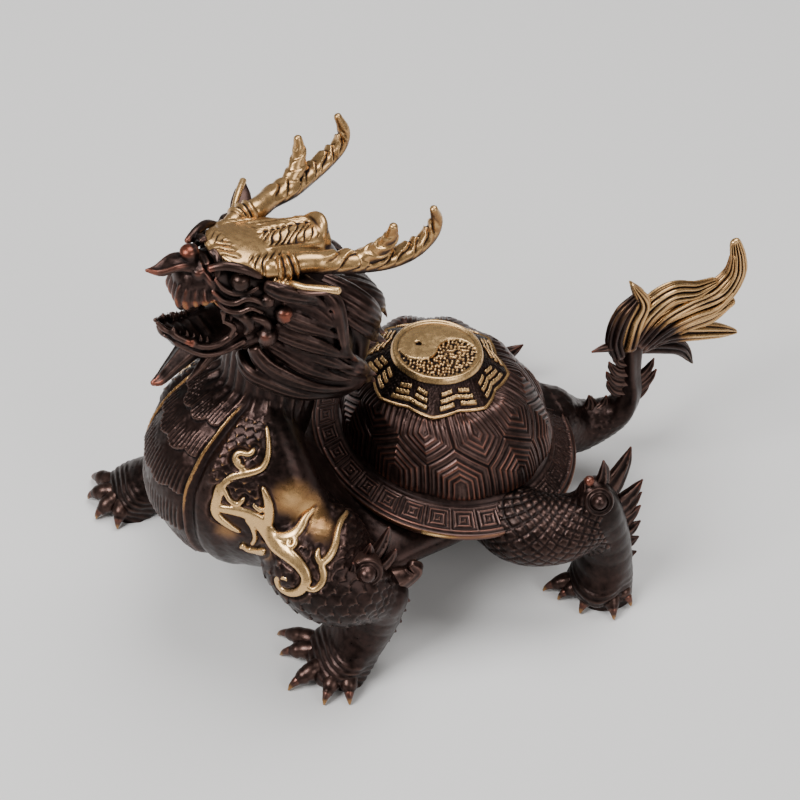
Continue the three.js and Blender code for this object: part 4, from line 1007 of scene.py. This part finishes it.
def crown():
    """The brass crown with its crest and the knobs that carry the horns."""
    forms = [sweep(CROWN, around=60, pitch=0.5), sweep(CREST, around=40, pitch=0.5, bulge=0.1),
             sweep(CREST_LIP, around=24, pitch=0.4)]
    forms += [ball(side * 14, -45.6, 131, 2.6, 30) for side in SIDES]
    verts, faces = organic(forms, 0.55, 2, 0.27)
    normals = normals_of(verts, faces)
    x, y, z = verts.T
    side = np.abs(x)
    top = smooth(normals[:, 2], 0.1, 0.5)
    # Hair over the temples, short leaves along the brow and chevrons down the crest; the rest is smooth.
    hair = smooth(side, 6.8, 8.4) * smooth(-y, 41, 43) * (1 - smooth(-y, 51, 53))
    height = hair * 0.85 * (leaf(0.42 * side + 0.5 * y + 0.35 * np.sin(0.8 * side)) - 0.3)
    crest = (1 - smooth(side, 4.2, 5.6)) * smooth(y, -46, -43) * (1 - smooth(y, -30, -28.6))
    bent = 0.5 * np.sin(1.7 * side + 0.5 * y)
    height += crest * 0.75 * (leaf((y + 1.1 * side + bent) / 2.05) - 0.35) * top
    height -= crest * 0.4 * np.exp(-((side - 0.1) / 0.4) ** 2)
    brow = smooth(-y, 53, 54.5) * top * (1 - smooth(side, 8, 9.4))
    height += brow * 0.6 * (leaf((1.1 * side - 0.7 * y + 0.4 * np.sin(1.4 * y)) / 2.4) - 0.3)
    rim = np.exp(-((side - 6.2) / 0.5) ** 2) * smooth(y, -46, -44) * (1 - smooth(y, -30, -28)) * top
    height += 0.45 * rim
    verts = verts + normals * height[:, None]
    # Its back end and underside stay dark: unrubbed patina there, and also painted shade on the faces that
    # turn away from the top.
    end = smooth(verts[:, 1], -34, -30) * (1 - smooth(normals[:, 2], 0.25, 0.5)) * (z > 126)
    end = np.maximum(end, smooth(-normals[:, 2], 0.1, 0.6))
    deep = smooth(sunk_of(verts, faces, 3), 0, 0.3)
    piece = Piece()
    piece.add(turned(verts), faces, polish=(0.88 - 0.5 * deep) * (1 - 0.95 * end))
    return piece


HORN_ROOT = np.array([12.4, -43, 133.6])
BEAM = [(10.6, -47.5, 134.2, 2.7), (12, -44.2, 134.1, 3), (12.8, -38.8, 134.1, 3.1),
        (15.5, -32.8, 133.6, 3), (18.3, -24.7, 132.6, 3.3), (21.2, -16.9, 132.2, 2.8),
        (22.6, -10.6, 133.8, 2.6), (23, -5.7, 137.1, 2.3), (23.3, -4, 141, 1.8), (24.2, -5.4, 146.4, 1.1)]
TINE = [(18.4, -24.6, 133, 2.9), (20.8, -20.2, 136.3, 2.5), (22.8, -17.8, 140.7, 1.9),
        (23.9, -17.4, 145.4, 1.2)]
# The ear is a dark blade under a rolled brass lip.
EAR = [(11, -41.4, 129.4, 3.2, 1.6), (18.6, -40.2, 130.6, 3.3, 1.3), (23, -37.8, 132, 2.4, 1.1),
       (26.4, -35.6, 133, 0.7, 0.6)]
EAR_LIP = [(13.6, -44.2, 131, 0.5), (16.6, -43.6, 131.9, 0.9), (19.6, -41.8, 132.3, 0.8),
           (23.2, -38.6, 132.9, 1), (26.4, -35.6, 133.3, 1)]


def grown(stations, growth):
    """The stations spread from the horn's root, at the same thickness."""
    return [(*(HORN_ROOT + (np.array(q[:3]) - HORN_ROOT) * growth), q[3]) for q in stations]


def beam_relief(s, angle, share):
    """Three thin collars, then leaves that wrap over the top, with a smooth underside."""
    up = -np.sin(angle)
    collars = sum(np.exp(-((s - middle) / 0.55) ** 2) for middle in (4.6, 6.5, 8.4))
    over = np.arccos(np.clip(up, -1, 1))
    pitch = np.where(s < 26, 5, 4.1)
    leaves = leaf((s + 2.6 * over + 1.4 * np.cos(angle) + 0.7 * np.sin(0.9 * s)) / pitch) - 0.4
    place = smooth(s, 15, 18) * (1 - smooth(share, 0.86, 0.95)) * smooth(up, -0.25, 0.35)
    return 1.15 * collars - 0.25 * smooth(s, 3, 4) * (1 - smooth(s, 9, 10)) + 1.2 * place * leaves


def tine_relief(s, angle, share):
    over = np.arccos(np.clip(np.sin(angle), -1, 1))
    return (0.7 * (leaf((s + 1.9 * over) / 3.9) - 0.35) * smooth(s, 2.5, 4.5)
            * (1 - smooth(share, 0.72, 0.88)))


def horns():
    """Both horns, the right one a little shorter, and the ears."""
    piece = Piece()
    for side, beam_growth, tine_growth in ((1, 1, 1), (-1, 0.96, 0.9)):
        both = Piece()
        both.sweep(flip(grown(BEAM, beam_growth), side), around=64, pitch=0.25, relief=beam_relief)
        both.sweep(flip(grown(TINE, tine_growth), side), around=44, pitch=0.25, relief=tine_relief)
        verts, faces = both.fused(0.24)
        deep = smooth(sunk_of(verts, faces, 3), 0, 0.3)
        # Less brass on faces turned down: the underside is left unrubbed, and this also paints shade under
        # the horns.
        underside_unrubbed_and_shaded = smooth(-normals_of(verts, faces)[:, 2], -0.3, 0.4)
        piece.add(turned(verts), faces, polish=0.88 - 0.5 * deep - 0.55 * underside_unrubbed_and_shaded)
        verts, faces, _ = sweep(flip(EAR, side), around=40, pitch=0.4, across=(0, 1, 0))
        piece.add(turned(verts), faces, warm=0.1)
        verts, faces, _ = sweep(flip(EAR_LIP, side), around=20, pitch=0.3)
        piece.add(turned(verts), faces, polish=1.0)
    return piece


# Locks of the mane on the left side: points from root to tip, with the half width of the lock.
MANE = [
    ([(13, -49.6, 131), (16.5, -47, 130.4), (18.2, -42, 127.6), (17.8, -37, 123.4),
      (19.4, -33.4, 119.4)], 2.6),
    ([(13.6, -44.6, 124.4), (16.2, -39, 121.4), (19.8, -34, 116), (20.6, -29.6, 112.4)], 2.8),
    ([(14.4, -46.4, 120.4), (17, -42.6, 118), (19.8, -36.6, 114), (20.4, -31, 108.6)], 2.8),
    ([(12, -47.6, 114), (15, -44.6, 112.6), (19.2, -39, 109.6), (21, -33.6, 105.4), (20.2, -27.4, 100)], 3),
    ([(13.6, -45, 109), (18, -39.4, 106), (20.4, -33.6, 101), (19.6, -26.4, 94.6)], 2.8),
    ([(10.6, -49, 108.4), (13, -46, 106), (18, -41.2, 101.6), (20.2, -35, 96.6), (19.4, -27.4, 90.6)], 3.2),
    ([(9.6, -53, 107.4), (12, -51.6, 103.2), (15.6, -47, 98.6), (18.8, -40.6, 94.2), (19, -31, 88.8),
      (17, -24, 85.6)], 2.8),
    ([(3.6, -54.4, 101.2), (9, -55, 99.4), (14, -51, 96.8), (18, -44.4, 92.6), (19, -36, 89),
      (17.6, -27.4, 85.8)], 2.8),
    ([(12, -37, 104.6), (16.6, -32, 100), (18.2, -26, 94), (16.6, -21.6, 88.6), (16.8, -18.6, 86.4)], 3.2),
    ([(15, -36, 126.4), (18, -32.4, 122.6), (20.2, -31.4, 115), (20.8, -31, 107), (19.6, -27.4, 99),
      (17.4, -22.8, 92.6)], 2),
    ([(9, -33, 123), (15, -28, 120), (18.4, -23, 115), (17, -19, 108.6), (15.6, -17.6, 103),
      (17.2, -15.6, 100.6)], 4),
    ([(9, -32, 117), (14, -26, 112.6), (16, -21, 106), (14.6, -17.6, 99), (15.6, -14.6, 96)], 4),
    ([(8, -31, 119), (11.6, -22.6, 115.4), (12.4, -16, 110), (9.6, -12.6, 103.6), (10.4, -11.4, 99.4)], 4),
    ([(3, -30, 117), (5, -20.6, 113), (5.6, -13.8, 107.4), (4, -11.6, 101), (4.4, -11.4, 96.8)], 3.8),
    ([(10, -34, 99), (14, -28, 94), (15.4, -22.6, 88), (13.6, -19.4, 83), (14.2, -17.4, 80.6)], 3.6),
]


def flowing(count, phase, depth, power=0.55):
    """Grooves along a flat lock of hair or flame, the narrower the smaller the power: relief for sweep."""
    def relief(s, angle, share):
        across = np.arcsin(np.clip(np.sin(angle), -1, 1)) / (math.pi / 2)
        wave = np.abs(np.cos(math.pi * (0.5 * count * across + phase)))
        return depth * (wave ** power - 0.73) * smooth(share, 0.02, 0.12)
    return relief


def hair_lock(points, half_width, side):
    """Stations of a flat leaf-shaped lock: a point, then half its thickness and half its width."""
    t = np.linspace(0, 1, 9)
    middle = path_at(np.array(points, float), t)
    width = (1.02 * half_width * (0.72 + 0.28 * np.sin(math.pi * np.clip(t / 0.75, 0, 1))) * (1 - t ** 2.3)
             + 0.14)
    return flip([(*p, 0.56 * w, w) for p, w in zip(middle, width)], side)


# Plain hair under the locks of the left side, and under the one at the back.
MANE_GROUND = [
    [(12, -42, 120, 5, 6), (14.4, -36, 112, 4.6, 7), (15, -32, 103, 4, 7), (13.6, -29, 94, 3.4, 6),
     (13, -26, 88, 2, 3)],
    [(9, -28, 116, 5, 6), (10, -23.6, 108, 4.6, 6), (10, -21, 100, 4, 5.6), (10.6, -21.4, 92, 3, 4.6)],
    [(12, -46, 99, 2.6, 5), (14.6, -38, 93, 3.4, 6), (15.6, -30, 88, 3, 5), (15.4, -24, 86, 2, 3)],
]
BACK_LOCK = [(0, -28, 116), (0, -19, 111), (0, -12.6, 105), (0, -10.6, 98.4), (0, -12.2, 94.4)]
BACK_GROUND = [(0, -30, 113, 8, 7), (0, -20, 106.6, 8.6, 5), (0, -15, 101, 6, 3.4),
               (0, -14.6, 95, 2.4, 1.6)]


def mane():
    """All the hair as one skin, its locks facing away from the middle of the head."""
    draft = Piece()
    warm_tips = []
    heart, groove = np.array([0, -36, 108]), 0.62
    for side in SIDES:
        for k, (points, half_width) in enumerate(MANE):
            strands = max(3, round(1.9 * half_width / 1.25))
            draft.sweep(hair_lock(points, half_width, side), around=90, pitch=0.35, out_from=heart,
                        relief=flowing(strands, 0.3 * k, groove))
            warm_tips += flip(points[-1:], side)
        for form in MANE_GROUND:
            draft.sweep(flip(form, side), around=40, pitch=0.6, out_from=heart)
    draft.sweep(hair_lock(BACK_LOCK, 4.4, 1), around=90, pitch=0.35, out_from=np.array([0, -36, 100]),
                relief=flowing(8, 0.5, groove))
    draft.sweep(BACK_GROUND, around=50, pitch=0.6)
    verts, faces = draft.fused(0.3)
    warm = np.zeros(len(verts))
    for tip in warm_tips:
        warm = np.maximum(warm, 0.6 * (1 - smooth(np.linalg.norm(verts - tip, axis=1), 0.5, 3)))
    piece = Piece()
    piece.add(turned(verts), faces, warm=warm)
    return piece


def lathe(centre, axis, profile):
    """A closed form of revolution; the profile lists reach along the axis and radius."""
    around = 40
    axis = unit(np.array(axis, float))
    side = unit(np.cross(axis, (0, 0, 1)))
    other = np.cross(axis, side)
    p = np.array(profile, float)
    t = np.linspace(0, 1, 4 * len(p))
    reach = np.interp(t, np.linspace(0, 1, len(p)), p[:, 0])
    radius = np.interp(t, np.linspace(0, 1, len(p)), p[:, 1])
    a = np.linspace(0, 2 * math.pi, around, endpoint=False)
    ring = np.cos(a)[:, None] * side + np.sin(a)[:, None] * other
    verts = np.array(centre) + reach[:, None, None] * axis + radius[:, None, None] * ring[None]
    return verts.reshape(-1, 3), [grid_faces(len(t), around)]


def eye_boss(piece, x, y, z, side, radius, axis=None):
    """An eye of polished red under two low rings."""
    axis = (side, -0.3, 0.25) if axis is None else axis
    profile = [(-1.4, 0.02), (-1.4, 1.34), (-0.3, 1.38), (-0.06, 1.26), (-0.04, 1.12), (-0.16, 1.04),
               (-0.02, 0.96), (0.02, 0.84), (-0.14, 0.76), (0.12, 0.7), (0.4, 0.58), (0.6, 0.38),
               (0.68, 0.16), (0.69, 0.02)]
    verts, faces = lathe((x, y, z), axis, np.array(profile) * radius)
    away = np.linalg.norm(verts - np.array((x, y, z)), axis=1)
    piece.add(verts, faces, warm=0.75 * (1 - smooth(away, 0.66 * radius, 0.8 * radius)))


def spike(piece, root, tip, width, thick, curl=0.1):
    """A grooved flame that bends as it narrows."""
    blunt = 0.35
    root, tip = np.array(root, float), np.array(tip, float)
    bend = curl * np.linalg.norm(tip - root) * unit(np.cross(tip - root, (1, 0, 0)))
    points = [root, root * 0.66 + tip * 0.34 + bend, root * 0.3 + tip * 0.7 + 0.8 * bend, tip]
    sizes = [(width, thick), (0.8 * width, 0.85 * thick), (0.48 * width, 0.6 * thick), (blunt, blunt)]
    stations = [(*point, *size) for point, size in zip(points, sizes)]
    verts, faces, info = sweep(stations, around=28, pitch=0.35, across=(0, 1, 0), relief=grooves(3, 0.3))
    piece.add(verts, faces, warm=smooth(info["share"], 0.75, 1))


def knuckles(s, angle, share):
    """Folds across the top of a toe: relief for sweep."""
    up = np.maximum(-np.sin(angle), -0.1)
    return (0.55 * np.abs(np.sin(math.pi * s / 3.1)) ** 0.8 - 0.3) * smooth(s, 1, 3) * (0.35 + 0.65 * up)


def toes(piece, palm, tips):
    """A toe and a claw from the palm to each tip on the ground."""
    width = 2.9
    for x, y in tips:
        def along(share, z):
            return (palm[0] + (x - palm[0]) * share, palm[1] + (y - palm[1]) * share, z)

        toe = [(*along(0.2, 5), width), (*along(0.42, 5.2), width), (*along(0.6, 4.7), 0.94 * width),
               (*along(0.74, 3.9), 0.84 * width), (*along(0.84, 3.2), 0.55 * width)]
        verts, faces, _ = sweep(toe, around=30, pitch=0.3, relief=knuckles)
        piece.add(verts, faces, warm=0.15)
        claw = [(*along(0.72, 3.6), 0.6 * width), (*along(0.85, 3.2), 0.5 * width),
                (*along(0.95, 2), 0.3 * width),
                (*along(1, 0.6), 0.3)]
        verts, faces, info = sweep(claw, around=22, pitch=0.3)
        piece.add(verts, faces, polish=0.75 * smooth(info["share"], 0.55, 0.9), warm=0.5)


def limbs():
    """Eyes, flames, toes and claws of the four legs."""
    piece = Piece()
    # Left foreleg: the eye over the elbow, its flames, the blunt elbow curl and the fringe down the back.
    eye_boss(piece, 51.5, -38.4, 49.6, 1, 3.6)
    elbow = [(45, -33.6, 34.6, 5.6, 5.2), (45.6, -27, 34.8, 4.4, 4), (46, -22.4, 35.6, 3, 2.8),
             (46.2, -20.6, 37.6, 2.6, 2.4), (46, -21.8, 39.4, 1.6, 1.5)]
    verts, faces, info = sweep(elbow, around=30, pitch=0.35, relief=grooves(3, 0.25))
    piece.add(verts, faces, warm=0.3 * smooth(info["share"], 0.7, 0.9))
    for root, tip, width, thick in (
            ((45, -39, 46), (48.2, -35.6, 57.6), 3.2, 2), ((43, -36, 43), (46.3, -28.9, 59.4), 3.6, 2.3),
            ((48, -42.5, 47.5), (50.6, -42, 55.4), 2.2, 1.4),
            ((46, -33, 43), (47.6, -27.4, 50.6), 2.8, 1.8),
            ((46, -27, 30), (47, -22.8, 24.8), 3.6, 1.6), ((45.6, -28, 22), (46.4, -25.2, 15.8), 3.4, 1.6),
            ((45.8, -27.6, 26), (46.6, -23.8, 20.4), 3.2, 1.5),
            ((44.8, -31, 14), (45.6, -28.8, 7.8), 3.2, 1.6),
            ((45.4, -29.4, 18), (46, -26.8, 11.6), 3.2, 1.5)):
        spike(piece, root, tip, width, thick)
    toes(piece, (42.5, -41), [(23.5, -55.5), (31, -58), (44, -61), (53.4, -53.8), (56.6, -47)])
    # Right foreleg, a step ahead.
    eye_boss(piece, -45, -55, 36, -1, 3.2)
    spike(piece, (-43, -55, 26), (-44.5, -47.4, 24), 3.4, 3)
    spike(piece, (-42, -51, 38), (-45.4, -44.6, 46), 3, 1.8)
    spike(piece, (-44, -61, 17), (-45, -56.4, 10.4), 3.6, 1.6)
    toes(piece, (-46.5, -76.5), [(-61.9, -83.9), (-54.2, -88.1), (-44.9, -88.8), (-38, -84.2)])
    # Left hind leg: the eye over the knee among compact flames, and a fringe down the back.
    tips = [(43.6, 25), (48.7, 27.3), (56.4, 30.7), (63, 38.8), (60.6, 46.2)]
    eye_boss(piece, 54.6, 34.9, 47.2, 1, 3.2, (0.75, -0.35, 0.55))
    verts, faces, _ = ball(50.6, 33.4, 53.2, 1.5, 24)
    piece.add(verts, faces, warm=0.8)
    for root, tip, width, thick in (
            ((49.5, 34, 45), (49.6, 32.4, 53.4), 3, 1.8), ((49.5, 36.5, 45), (50, 38, 58.8), 3, 1.9),
            ((48.6, 38, 41), (46.8, 49.2, 56.4), 4.4, 2.8), ((49, 40, 42), (47.4, 48, 50.6), 3.4, 2.2),
            ((49.5, 39.5, 34), (50, 52.4, 44), 4.8, 3), ((49.7, 41, 31), (50, 52.6, 38.4), 4, 2.6),
            ((49.8, 42, 27), (50, 52.8, 32.4), 4.4, 2.8), ((50, 43, 23), (50.6, 53, 26), 3.8, 2.4),
            ((50, 44, 19), (51, 52.8, 19.4), 3.6, 2.2), ((50.4, 44.6, 14), (51, 52.6, 12.6), 3.4, 2)):
        spike(piece, root, tip, width, thick)
    toes(piece, (50.5, 42.5), tips)
    # Right hind leg.
    eye_boss(piece, -51, 37, 21, -1, 2.8)
    spike(piece, (-46.5, 47, 10.5), (-40, 62.2, 18.2), 4.2, 3.4)
    spike(piece, (-48, 48, 14), (-49.5, 54.2, 18), 3, 1.8)
    toes(piece, (-50, 46), [(-x, y + 3.5) for x, y in tips])
    return piece


def tail():
    """The flames of the tail's stem and tuft."""
    piece = Piece()
    # Small waves of fire on the stem.
    for root, tip, width, thick, curl in (
            ((7, 72, 34.5), (7, 65.6, 41), 2.2, 2, -0.14),
            ((7, 72.4, 38.5), (7, 65, 45.4), 2.4, 2.2, -0.14),
            ((7, 72.4, 42.4), (7, 65.6, 49.4), 2.4, 2.1, -0.14),
            ((7, 72.4, 46.6), (7, 66.8, 52.6), 2, 1.8, -0.14),
            ((7, 75, 33), (7, 83.6, 38.6), 2.6, 2.2, 0.14), ((7, 75.4, 37), (7, 82.2, 44), 2.4, 2, 0.14),
            ((7, 75.4, 30), (7, 81.6, 33.4), 2.2, 1.8, 0.14),
            ((2.5, 62, 25), (2.5, 62.2, 32.3), 2.8, 2, 0.14),
            ((4, 65.6, 26), (4.2, 67.6, 31.4), 2.2, 1.7, 0.14),
            ((7, 71, 53), (7, 59, 56.6), 2.4, 1.9, 0.1)):
        spike(piece, root, tip, width, thick, curl)
    # Flame locks of the tuft: half thickness, [y, z, half width] from root to tip, how far from the stem
    # their brass begins, and how bright it is.
    locks = [
        (2.2, [(73.6, 52, 3.4), (82.4, 59.4, 5), (93.8, 61.2, 5.6), (104.4, 62.4, 5.1), (109, 68.6, 3.7),
               (109, 75, 2.7), (106.9, 83, 1.6)], 6, 1),
        (2.9, [(72.4, 56, 3.4), (78, 66, 4.8), (85.1, 70, 4.2), (94.1, 68, 3.1), (101.4, 68.8, 1.3)], 3, 1),
        (3.6, [(71.4, 55, 3.4), (73, 64.6, 3.4), (75, 71.4, 2.4), (70.8, 80, 0.5)], 1, 1),
        (2.7, [(79, 54, 3), (87.1, 53.2, 3.4), (97.3, 49.8, 3.1), (105.6, 46.6, 2.3),
               (112.2, 43.6, 0.7)], 9, 1),
        (1.9, [(77, 52, 3), (85.7, 48.6, 3.2), (92, 44.6, 2.5), (97, 36.2, 0.4)], 12, 0.4),
        (2.6, [(68.6, 52, 2.6), (66.8, 59, 2.9), (68.8, 68, 2.9), (74.2, 74.6, 0.7)], 8, 0.4),
        (3.1, [(75, 54, 3), (83.4, 61.6, 3), (92, 64.4, 2.6), (101, 65.6, 2), (106.6, 70.6, 1.4),
               (107, 77.6, 0.6)], 4, 1),
        (2.4, [(76, 52, 3.4), (91, 55.4, 4.5), (101.4, 56, 4.1), (109.2, 57.8, 1.5)], 8, 1),
        (3.2, [(77, 52.6, 2.6), (85.4, 57, 2.6), (94, 58.6, 2.4), (102.4, 59.2, 2),
               (109, 63.6, 0.8)], 7, 1),
    ]

    for i, (thick, stations, start, bright) in enumerate(locks):
        widest = max(w for _, _, w in stations)
        sized = [(7, y, z, thick * (0.25 + 0.75 * min(1, w / (0.8 * widest))), w) for y, z, w in stations]
        count = max(2, round(2 * widest / 1.6))
        verts, faces, _ = sweep(sized, around=130, pitch=0.35, relief=flowing(count, 0.3 * i, 0.85, 0.95))
        base = smooth(np.hypot(verts[:, 1] - 75, verts[:, 2] - 53), start, start + 11)
        deep = smooth(sunk_of(verts, faces, 1), -0.14, 0.1)
        piece.add(verts, faces, polish=bright * (0.05 + 0.9 * base) * (1 - 0.65 * deep), warm=0.2)
    return piece


# Finish: colours of the patina and of the brass under it.
PATINA_DARK, PATINA_LIGHT = (0.013, 0.0078, 0.0066), (0.038, 0.0205, 0.0172)
WORN_DARK, WORN_LIGHT = (0.03, 0.0175, 0.015), (0.085, 0.048, 0.041)
# The edge colour lightens convex edges: partly edge wear, partly a painted highlight.
RUBBED_RED, EDGE_WEAR_AND_HIGHLIGHT, HOLLOW = (0.2, 0.05, 0.026), (0.22, 0.125, 0.1), (0.008, 0.005, 0.005)
BRASS_DULL, BRASS_BRIGHT, BRASS_HOLLOW = (0.3, 0.155, 0.058), (0.8, 0.52, 0.24), (0.045, 0.023, 0.01)


def node_maker(tree):
    """A function that adds a node: _name sets a property, i0 or i6 an input by number, and any other name
    the input of that name."""
    def make(kind, **inputs):
        node = tree.nodes.new(kind)
        for key, value in inputs.items():
            if key.startswith("_"):
                setattr(node, key[1:], value)
                continue
            numbered = key[0] == "i" and key[1:].isdigit()
            socket = node.inputs[int(key[1:]) if numbered else key.replace("_", " ")]
            if isinstance(value, bpy.types.NodeSocket):
                tree.links.new(value, socket)
            else:
                socket.default_value = value
        return node
    return make


def bronze():
    """Old patina, reddish where hands have worn it, over brass that shows where `polish` is high."""
    material = bpy.data.materials.new("bronze_patina")
    material.use_nodes = True
    tree = material.node_tree
    tree.nodes.clear()
    make = node_maker(tree)

    def maths(operation, a, b):
        return make("ShaderNodeMath", _operation=operation, i0=a, i1=b).outputs[0]

    def swing(value, amount):
        """A noise as so much more or less than nothing."""
        return maths("MULTIPLY", maths("SUBTRACT", value, 0.5), amount)

    def span(value, low, high, to_low=0.0, to_high=1.0):
        node = make("ShaderNodeMapRange", _interpolation_type="SMOOTHSTEP", i0=value, i1=low, i2=high,
                    i3=to_low, i4=to_high)
        return node.outputs[0]

    def mix(share, a, b):
        a, b = ((*colour, 1) if isinstance(colour, tuple) else colour for colour in (a, b))
        return make("ShaderNodeMix", _data_type="RGBA", i0=share, i6=a, i7=b).outputs[2]

    def attribute(name):
        return make("ShaderNodeAttribute", _attribute_name=name).outputs["Fac"]

    place = make("ShaderNodeTexCoord").outputs["Object"]

    def noise(scale, detail=3.0):
        return make("ShaderNodeTexNoise", Vector=place, Scale=scale, Detail=detail,
                    Roughness=0.55).outputs[0]

    polish, warm, sunk = attribute("polish"), attribute("warm"), attribute("sunk")
    wide, middling, fine, grain = noise(38), noise(160), noise(620, 4), noise(2400, 2)
    cavity = span(sunk, 0.01, 0.22)
    edge = span(maths("MULTIPLY", sunk, -1.0), 0.02, 0.24)
    wear = maths("ADD", maths("MULTIPLY", edge, 0.3), swing(middling, 0.28))
    brass = span(maths("SUBTRACT", maths("ADD", polish, wear), maths("MULTIPLY", cavity, 0.3)), 0.3, 0.8)
    # Patina: dark in the hollows, lighter where it is worn, lighter on convex edges from edge wear and a
    # painted highlight, red where it is rubbed hard.
    tone = span(maths("ADD", wide, swing(fine, 0.6)), 0.3, 0.72)
    patina = mix(tone, PATINA_DARK, PATINA_LIGHT)
    handled = maths("MULTIPLY", warm, maths("ADD", edge, 0.45))
    red = span(maths("ADD", handled, swing(middling, 0.3)), 0.32, 0.95)
    worn = mix(tone, WORN_DARK, WORN_LIGHT)
    patina = mix(span(warm, 0.1, 0.5), patina, worn)
    patina = mix(red, patina, RUBBED_RED)
    # Convex edges turn lighter: partly edge wear, partly a painted highlight along the edges.
    patina = mix(maths("MULTIPLY", edge, 0.34), patina, EDGE_WEAR_AND_HIGHLIGHT)
    patina = mix(maths("MULTIPLY", cavity, 0.85), patina, HOLLOW)
    # Brass: paler where it is polished most.
    metal = mix(span(maths("ADD", polish, swing(fine, 0.1)), 0.6, 1.2), BRASS_DULL, BRASS_BRIGHT)
    metal = mix(maths("MULTIPLY", cavity, 0.9), metal, BRASS_HOLLOW)
    colour = mix(brass, patina, metal)
    rough = maths("ADD", span(fine, 0.25, 0.75, 0.27, 0.42), maths("MULTIPLY", cavity, 0.25))
    rough_brass = span(fine, 0.25, 0.75, 0.2, 0.34)
    roughness = maths("ADD", maths("MULTIPLY", rough, maths("SUBTRACT", 1.0, brass)),
                      maths("MULTIPLY", rough_brass, brass))
    height = maths("ADD", maths("MULTIPLY", fine, 0.7), maths("MULTIPLY", grain, 0.3))
    bump = make("ShaderNodeBump", Height=height, Strength=0.35, Distance=0.00012)
    shader = make("ShaderNodeBsdfPrincipled", Base_Color=colour, Roughness=roughness,
                  Normal=bump.outputs[0],
                  Metallic=0.86)
    make("ShaderNodeOutputMaterial", Surface=shader.outputs[0])
    return material


def floor_material():
    material = bpy.data.materials.new("pale_floor")
    material.use_nodes = True
    shader = material.node_tree.nodes["Principled BSDF"]
    shader.inputs["Base Color"].default_value = (0.72, 0.71, 0.7, 1)
    shader.inputs["Roughness"].default_value = 0.8
    return material


METAL = bronze()


def cast(name, verts, faces, marks, limit):
    """A finished piece of the figure in place of the solid, with at most so many triangles."""
    verts = np.maximum(verts, (-np.inf, -np.inf, 0))
    marks = np.column_stack([marks, sunk_of(verts, faces)])
    verts = (verts - (0, MIDDLE_Y, 0)) * MILLIMETRE
    mesh = mesh_of(name, verts, faces)
    mesh.shade_smooth()
    for k, key in enumerate(("polish", "warm", "sunk")):
        layer = mesh.attributes.new(key, "FLOAT", "POINT")
        layer.data.foreach_set("value", np.ascontiguousarray(marks[:, k], np.float32))
    mesh.materials.append(METAL)
    piece = put(name, mesh)
    count = sum(len(f) * (f.shape[1] - 2) for f in faces)
    if count > limit:
        reduce = piece.modifiers.new("reduce", "DECIMATE")
        reduce.ratio = limit / count
        graph = bpy.context.evaluated_depsgraph_get()
        thinner = bpy.data.meshes.new_from_object(piece.evaluated_get(graph), preserve_all_data_layers=True,
                                                  depsgraph=graph)
        piece.modifiers.clear()
        piece.data = thinner
        bpy.data.meshes.remove(mesh)
        piece.data.shade_smooth()
    piece.data.validate()
    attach(piece, "root")
    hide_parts("dragon_turtle")


front_skin, scroll = front_body()
cast("body_front", *front_skin, 160000)
cast("scroll", *scroll, 50000)
cast("body_rear", *rear_body(), 85000)
for build, limit in ((shell_ring, 70000), (shell_dome, 80000), (shell_disc, 90000), (head, 90000),
                     (crown, 45000), (horns, 60000), (mane, 90000), (limbs, 60000), (tail, 70000)):
    cast(build.__name__, *build().data(), limit)


# Stage, in metres: the lights' places, sizes and watts, and the point that they face.
LIGHTS = [("key", (0.1, -0.9, 1.1), 0.7, 20), ("top", (-0.2, 0.3, 1.3), 0.9, 14),
          ("fill", (1.2, 0.3, 0.7), 0.8, 6)]
LIT_POINT = (0, 0, 0.05)
FLOOR_HALF = 4.0
ROOM_COLOUR, ROOM_STRENGTH = (0.84, 0.82, 0.8, 1), 0.22
# The camera, as fitted to the photograph: degrees round and up, metres, and focal length in pixels.
CAMERA_TURN, CAMERA_RISE, CAMERA_DISTANCE = 64, 45, 0.62
CAMERA_TARGET = (-0.006, -MIDDLE_Y * MILLIMETRE, 0.05)
FOCAL_PIXELS, PICTURE_PIXELS, SENSOR_MM = 2046, 800, 36


def stage():
    """Pale floor, three soft lights and a dim even room."""
    h = FLOOR_HALF
    mesh = mesh_of("floor", np.array([(-h, -h, 0), (h, -h, 0), (h, h, 0), (-h, h, 0)]),
                   [np.array([[0, 1, 2, 3]])])
    mesh.materials.append(floor_material())
    floor = put("floor", mesh)
    for name, place, size, energy in LIGHTS:
        light = bpy.data.lights.new(name, "AREA")
        light.shape = "DISK"
        light.size = size
        light.energy = energy
        lamp = put(name, light)
        lamp.location = place
        lamp.rotation_euler = (Vector(LIT_POINT) - Vector(place)).to_track_quat("-Z", "Y").to_euler()
    world = bpy.data.worlds.new("studio")
    world.use_nodes = True
    background = world.node_tree.nodes["Background"]
    background.inputs["Color"].default_value = ROOM_COLOUR
    background.inputs["Strength"].default_value = ROOM_STRENGTH
    bpy.context.scene.world = world


def camera():
    data = bpy.data.cameras.new("camera")
    data.sensor_width = SENSOR_MM
    data.lens = FOCAL_PIXELS / PICTURE_PIXELS * SENSOR_MM
    data.clip_start, data.clip_end = 0.05, 20
    turn, rise = rad(CAMERA_TURN), rad(CAMERA_RISE)
    back = Vector((math.sin(turn) * math.cos(rise), -math.cos(turn) * math.cos(rise), math.sin(rise)))
    eye = put("camera", data)
    eye.location = Vector(CAMERA_TARGET) + CAMERA_DISTANCE * back
    eye.rotation_euler = (-back).to_track_quat("-Z", "Y").to_euler()
    bpy.context.scene.camera = eye


stage()
camera()
